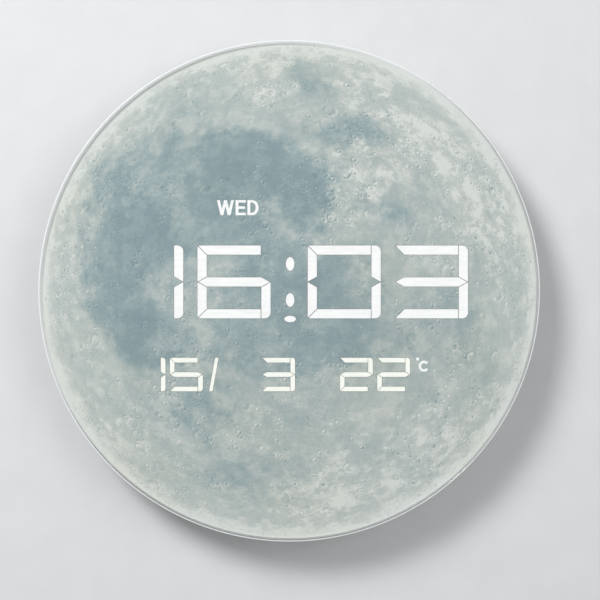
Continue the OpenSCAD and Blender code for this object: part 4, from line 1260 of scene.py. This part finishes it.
@dataclass(frozen=True)
class Fastener:
    """Screws with a cross recess that stand for the plain screws of a CAD node."""

    node: str
    name: str
    head: Head
    head_depth: float
    shank_radius: float
    tip_share: float = 0.45
    sunk_flat: float = 0.93
    sunk_land: float = 0.05
    pan_flat: float = 0.66
    pan_crown: float = 0.55
    recess_reach: float = 1.35 * MM
    recess_width: float = 0.62 * MM
    recess_depth: float = 0.8 * MM
    recess_taper: float = 0.55
    segments: int = 32

    def profile(self, radius: float, length: float) -> list[tuple[float, float]]:
        """Draw the screw's outline from its flat top to its point.

        Args:
            radius: radius of the head.
            length: length with the head.

        Returns:
            Radius of each corner, and its place along Y below the top.
        """
        shank, tip = self.shank_radius, self.shank_radius * self.tip_share
        if self.head is Head.SUNK:
            top = [(radius * self.sunk_flat, 0.0), (radius, -radius * self.sunk_land)]
        else:
            crown = self.head_depth * self.pan_crown
            flat = radius * self.pan_flat
            bend = [math.radians(angle) for angle in (20.0, 40.0, 60.0, 80.0)]
            top = [(flat, 0.0)]
            top += [(flat + (radius - flat) * math.sin(a), -crown * (1.0 - math.cos(a))) for a in bend]
            top += [(radius, -crown), (radius, -self.head_depth)]
        point = [(shank, tip * 2.0 - length), (tip, -length), (0.0, -length)]
        return [*top, (shank, -self.head_depth), *point]

    def one(self, radius: float, length: float) -> Piece:
        """Shape one screw with its head towards +Y and its flat top on the origin.

        Args:
            radius: radius of the head.
            length: length with the head.

        Returns:
            The screw.
        """
        screw = Piece(self.name)
        mesh = screw.mesh
        screw.turn(self.profile(radius, length), self.segments)
        screw.merge()
        rim = [edge for edge in mesh.edges if edge.is_boundary]
        reach, half = self.recess_reach, self.recess_width / 2.0
        cross = []
        for turn in range(4):
            spun = Matrix.Rotation(turn * QUARTER, 2)
            arm = [spun @ Vector(corner) for corner in ((half, half), (half, reach), (-half, reach))]
            cross += [mesh.verts.new((corner.x, 0.0, corner.y)) for corner in arm]
        lip = [mesh.edges.new(pair) for pair in zip(cross, [*cross[1:], cross[0]])]
        bmesh.ops.triangle_fill(mesh, use_beauty=True, use_dissolve=False, edges=[*rim, *lip])
        cover = mesh.faces.new(cross)
        sunk = bmesh.ops.extrude_face_region(mesh, geom=[cover])["geom"]
        bmesh.ops.delete(mesh, geom=[cover], context="FACES_ONLY")
        bottom = [part for part in sunk if isinstance(part, bmesh.types.BMVert)]
        bmesh.ops.scale(mesh, vec=(self.recess_taper, 1.0, self.recess_taper), verts=bottom)
        bmesh.ops.translate(mesh, vec=(0.0, -self.recess_depth, 0.0), verts=bottom)
        return screw

    def build(self) -> None:
        """Build a screw in each place of the CAD node."""
        piece = Piece(self.name)
        for low, high in solid_boxes(self.node):
            screw = self.one((high.x - low.x) / 2.0, high.y - low.y)
            screw.seat((low, high), high.y)
            piece.take(screw)
        piece.hang(Body.CLOCK, ZINC, [self.node])


@dataclass(frozen=True)
class RaisedSign:
    """Sign moulded on the rear face of a button or of the door.

    Attributes:
        name: name of the piece.
        node: CAD node that carries it.
        body: body that it rides on.
        sign: its shape.
        slot: not used.
        finish: its finish.
        reach: how far it reaches from its middle.
        height: its height with the part that is sunk in.
        shift: how far its middle lies from the node's middle in X.
        sink: how deep it is sunk in.
        edge: rounding of its edges.
        ring_width: width of a ring.
        ring_steps: steps of a ring's turn.
    """

    name: str
    node: str
    body: Body
    sign: Sign
    slot: str = "button"
    finish: Finish = SIGN_RUBBER
    reach: float = 2.1 * MM
    height: float = 0.3 * MM
    shift: float = 0.0
    sink: float = 0.1 * MM
    edge: float = 0.08 * MM
    ring_width: float = 0.7 * MM
    ring_steps: int = 36

    def build(self) -> None:
        """Shape the sign and sink it a little into its carrier."""
        piece = Piece(self.name)
        if self.sign is Sign.RING:
            inner, outer, top = self.reach - self.ring_width, self.reach, -self.height
            profile = ((inner, 0.0), (outer, 0.0), (outer, top), (inner, top))
            piece.turn(profile, self.ring_steps, closed=True)
        else:
            piece.arrow(self.reach, self.sign.value)
            piece.thicken(self.height)
        piece.soften(self.edge)
        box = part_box(self.node)
        piece.seat(box, box[1].y + self.height - self.sink, self.shift)
        piece.hang(self.body, self.finish)


@dataclass
class Housing:
    """Housing ring, ribbed rear cover and the screws that hold it."""

    screws: Fastener = Fastener("cover_screws", "cross_cover_screws", Head.PAN, 2.0 * MM, 1.5 * MM)

    def build(self) -> None:
        """Dress the housing and build its screws."""
        dress(SHELL, "housing_ring", "rear_cover")
        self.screws.build()


@dataclass
class Electronics:
    """Display board and what is soldered and screwed to it."""

    lacquer: Finish = SolderMask("green_lacquer", (0.012, 0.085, 0.035), (0.03, 0.16, 0.07))
    epoxy: Finish = MouldedPlastic(
        "chip_epoxy", (0.012, 0.012, 0.013), grey(0.03), grain=0.3 * MM, relief=0.02 * MM, roughness=0.55,
    )
    can: Finish = PlatedMetal("drawn_can", (0.62, 0.62, 0.64), (0.48, 0.48, 0.5), roughness=0.24)
    sleeve: Finish = MouldedPlastic(
        "shrunk_sleeve", (0.012, 0.016, 0.06), (0.05, 0.06, 0.12),
        grain=2.0 * MM, relief=0.01 * MM, roughness=0.3,
    )
    bead: Finish = MouldedPlastic(
        "epoxy_bead", (0.012, 0.012, 0.014), grey(0.04), grain=0.6 * MM, relief=0.02 * MM, roughness=0.35,
    )
    switch: Finish = MouldedPlastic(
        "switch_moulding", (0.014, 0.014, 0.015), grey(0.04), grain=0.4 * MM, relief=0.02 * MM,
    )
    header: Finish = MouldedPlastic(
        "header_moulding", (0.74, 0.7, 0.55), (0.62, 0.58, 0.44), grain=0.5 * MM, relief=0.02 * MM,
    )
    red: Finish = SoftSkin("red_sleeve", (0.3, 0.012, 0.01), (0.4, 0.06, 0.05))
    black: Finish = SoftSkin("black_sleeve", grey(0.014), grey(0.05))

    def dress(self) -> None:
        """Give the board and its parts their finishes."""
        dress(self.lacquer, "display_board")
        dress(ZINC, "board_screws", "frame_screws")
        dress(self.epoxy, "controller_chip", "driver_chips")
        dress(self.can, "crystal")
        dress(self.sleeve, "capacitors")
        dress(self.bead, "temperature_sensor")
        dress(self.switch, "tact_switches", "set_plunger", "up_plunger", "down_plunger")
        dress(self.header, "power_header", "cell_header")
        dress(self.red, "jack_leads")
        dress(self.black, "cell_leads")


@dataclass
class PowerInlet:
    """Barrel inlet in the side wall."""

    moulding: Finish = MouldedPlastic(
        "jack_moulding", (0.012, 0.012, 0.013), (0.04, 0.04, 0.042), grain=0.5 * MM,
    )

    def dress(self) -> None:
        """Give the inlet's body, centre pin and nut their finishes."""
        dress(self.moulding, "dc_jack")
        dress(BRASS, "jack_pin")
        dress(ZINC, "jack_nut")


@dataclass
class Keys:
    """Three rear buttons with raised signs: a ring to set, arrows for up and down."""

    rubber: Finish = SoftSkin("button_rubber", (0.035, 0.035, 0.037), (0.07, 0.07, 0.072))
    signs: tuple[RaisedSign, ...] = (
        RaisedSign("set_key_ring", "set_button", Body.SET_KEY, Sign.RING),
        RaisedSign("up_key_arrow", "up_button", Body.UP_KEY, Sign.UP),
        RaisedSign("down_key_arrow", "down_button", Body.DOWN_KEY, Sign.DOWN),
    )

    def build(self) -> None:
        """Dress the buttons and build their signs."""
        for sign in self.signs:
            dress(self.rubber, sign.node)
            sign.build()


@dataclass
class BatteryBay:
    """Back-up coin cell, its contacts, and the sliding door with an arrow that shows which way it goes."""

    steel: Colour = (0.66, 0.66, 0.67)
    dull_steel: Colour = grey(0.5)
    arrow: RaisedSign = RaisedSign(
        "door_arrow", "battery_door", Body.CELL_DOOR, Sign.LEFT, "housing", SHELL,
        reach=2.6 * MM, height=0.35 * MM, shift=3.0 * MM,
    )

    def build(self) -> None:
        """Dress the bay and build the door's arrow."""
        low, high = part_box("coin_cell")
        dress(TurnedCan("cell_can", self.steel, self.dull_steel, tuple((low + high) / 2.0)), "coin_cell")
        dress(BRASS, "cell_contacts")
        dress(SHELL, "battery_door")
        self.arrow.build()


@dataclass
class Hanger:
    """Keyhole plate and its sunk screws."""

    screws: Fastener = Fastener("hanger_screws", "cross_hanger_screws", Head.SUNK, 1.2 * MM, 1.5 * MM)

    def build(self) -> None:
        """Dress the plate and build its screws."""
        dress(ZINC, "hanger_plate")
        self.screws.build()


@dataclass(frozen=True)
class Lamp:
    """Square soft lamp that looks at the disc's middle."""

    name: str
    place: Point
    side: float
    power: float

    def build(self) -> None:
        """Hang the lamp and turn it to the clock."""
        data = bpy.data.lights.new(self.name, "AREA")
        data.energy = self.power
        data.size = self.side
        lamp = bpy.data.objects.new(self.name, data)
        lamp.location = self.place
        lamp.rotation_euler = (-Vector(self.place)).to_track_quat("-Z", "Y").to_euler()
        bpy.context.scene.collection.objects.link(lamp)


@dataclass
class Studio:
    """Camera, soft lamps, and a pale wall and floor."""

    picture: float = 600.0
    disc_column: float = 289.1
    disc_row: float = 290.8
    disc_pixels: float = 250.7
    distance: float = 1.5
    sensor: float = 36.0
    rim_depth: float = GlassFront.bevel_depth
    wall_gap: float = 0.5 * MM
    wall_half: float = 60.0
    floor_drop: float = 0.9
    ambient: float = 0.36
    horizon: Colour = (0.8, 0.81, 0.82)
    paint: Finish = PlainWall("pale_paint", (0.74, 0.75, 0.76), (0.72, 0.73, 0.74))
    ground: Finish = PlainWall("pale_ground", (0.55, 0.56, 0.57), (0.54, 0.55, 0.56), 0.85)
    lamps: tuple[Lamp, ...] = (
        Lamp("front_key", (-1.25, -1.7, 1.45), 0.8, 52.0),
        Lamp("front_fill", (1.7, -2.1, 0.5), 1.6, 15.0),
        Lamp("rear_key", (1.3, 1.8, 1.5), 0.9, 58.0),
        Lamp("rear_fill", (-1.7, 1.9, 0.3), 1.6, 24.0),
    )

    def camera(self) -> None:
        """Set the camera square to the disc, with the disc where the picture has it."""
        low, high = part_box("glass_disc")
        scale = self.disc_pixels / ((high.x - low.x) / 2.0)
        data = bpy.data.cameras.new("picture_camera")
        data.sensor_width = self.sensor
        data.lens = self.sensor * self.distance * scale / self.picture
        eye = bpy.data.objects.new("picture_camera", data)
        half = self.picture / 2.0
        eye.location = (
            (half - self.disc_column) / scale,
            low.y + self.rim_depth - self.distance,
            (self.disc_row - half) / scale,
        )
        eye.rotation_euler = (QUARTER, 0.0, 0.0)
        bpy.context.scene.collection.objects.link(eye)
        bpy.context.scene.camera = eye

    def sheet(self, name: str, place: Matrix, finish: Finish) -> None:
        """Lay one flat sheet of the stage.

        Args:
            name: name of the sheet.
            place: its place, with its front along the local Z.
            finish: its finish.
        """
        mesh = bmesh.new()
        bmesh.ops.create_grid(mesh, x_segments=1, y_segments=1, size=self.wall_half, matrix=place)
        data = bpy.data.meshes.new(name)
        mesh.to_mesh(data)
        mesh.free()
        data.materials.append(made(finish))
        sheet = bpy.data.objects.new(name, data)
        bpy.context.scene.collection.objects.link(sheet)

    def sky(self) -> None:
        """Set the world: soft light all round, and a pale horizon where it is looked at."""
        world = bpy.data.worlds.new("studio_world")
        nodes = Nodes(world)
        light = nodes.put("ShaderNodeBackground", {"Color": WHITE, "Strength": self.ambient})
        shown = nodes.put("ShaderNodeBackground", {"Color": self.horizon, "Strength": 1.0})
        mixed = nodes.mix(nodes.seen(), light, shown)
        nodes.feed(nodes.add("ShaderNodeOutputWorld"), {"Surface": mixed})
        bpy.context.scene.world = world

    def build(self) -> None:
        """Set up the studio."""
        bpy.context.scene.view_settings.view_transform = "Standard"
        self.camera()
        upright = Matrix.Translation((0.0, self.wall_gap, 0.0)) @ Matrix.Rotation(QUARTER, 4, "X")
        self.sheet("pale_wall", upright, self.paint)
        self.sheet("pale_floor", Matrix.Translation((0.0, 0.0, -self.floor_drop)), self.ground)
        self.sky()
        for lamp in self.lamps:
            lamp.build()
        LOG.info("studio is set")


def main() -> None:
    """Build the studio and the clock's sub-assemblies in order."""
    logging.basicConfig(level=logging.INFO, format="%(name)s: %(message)s")
    Studio().build()
    GlassFront().build()
    Display().build()
    Housing().build()
    Electronics().dress()
    PowerInlet().dress()
    Keys().build()
    BatteryBay().build()
    Hanger().build()


if __name__ == "__main__":
    main()
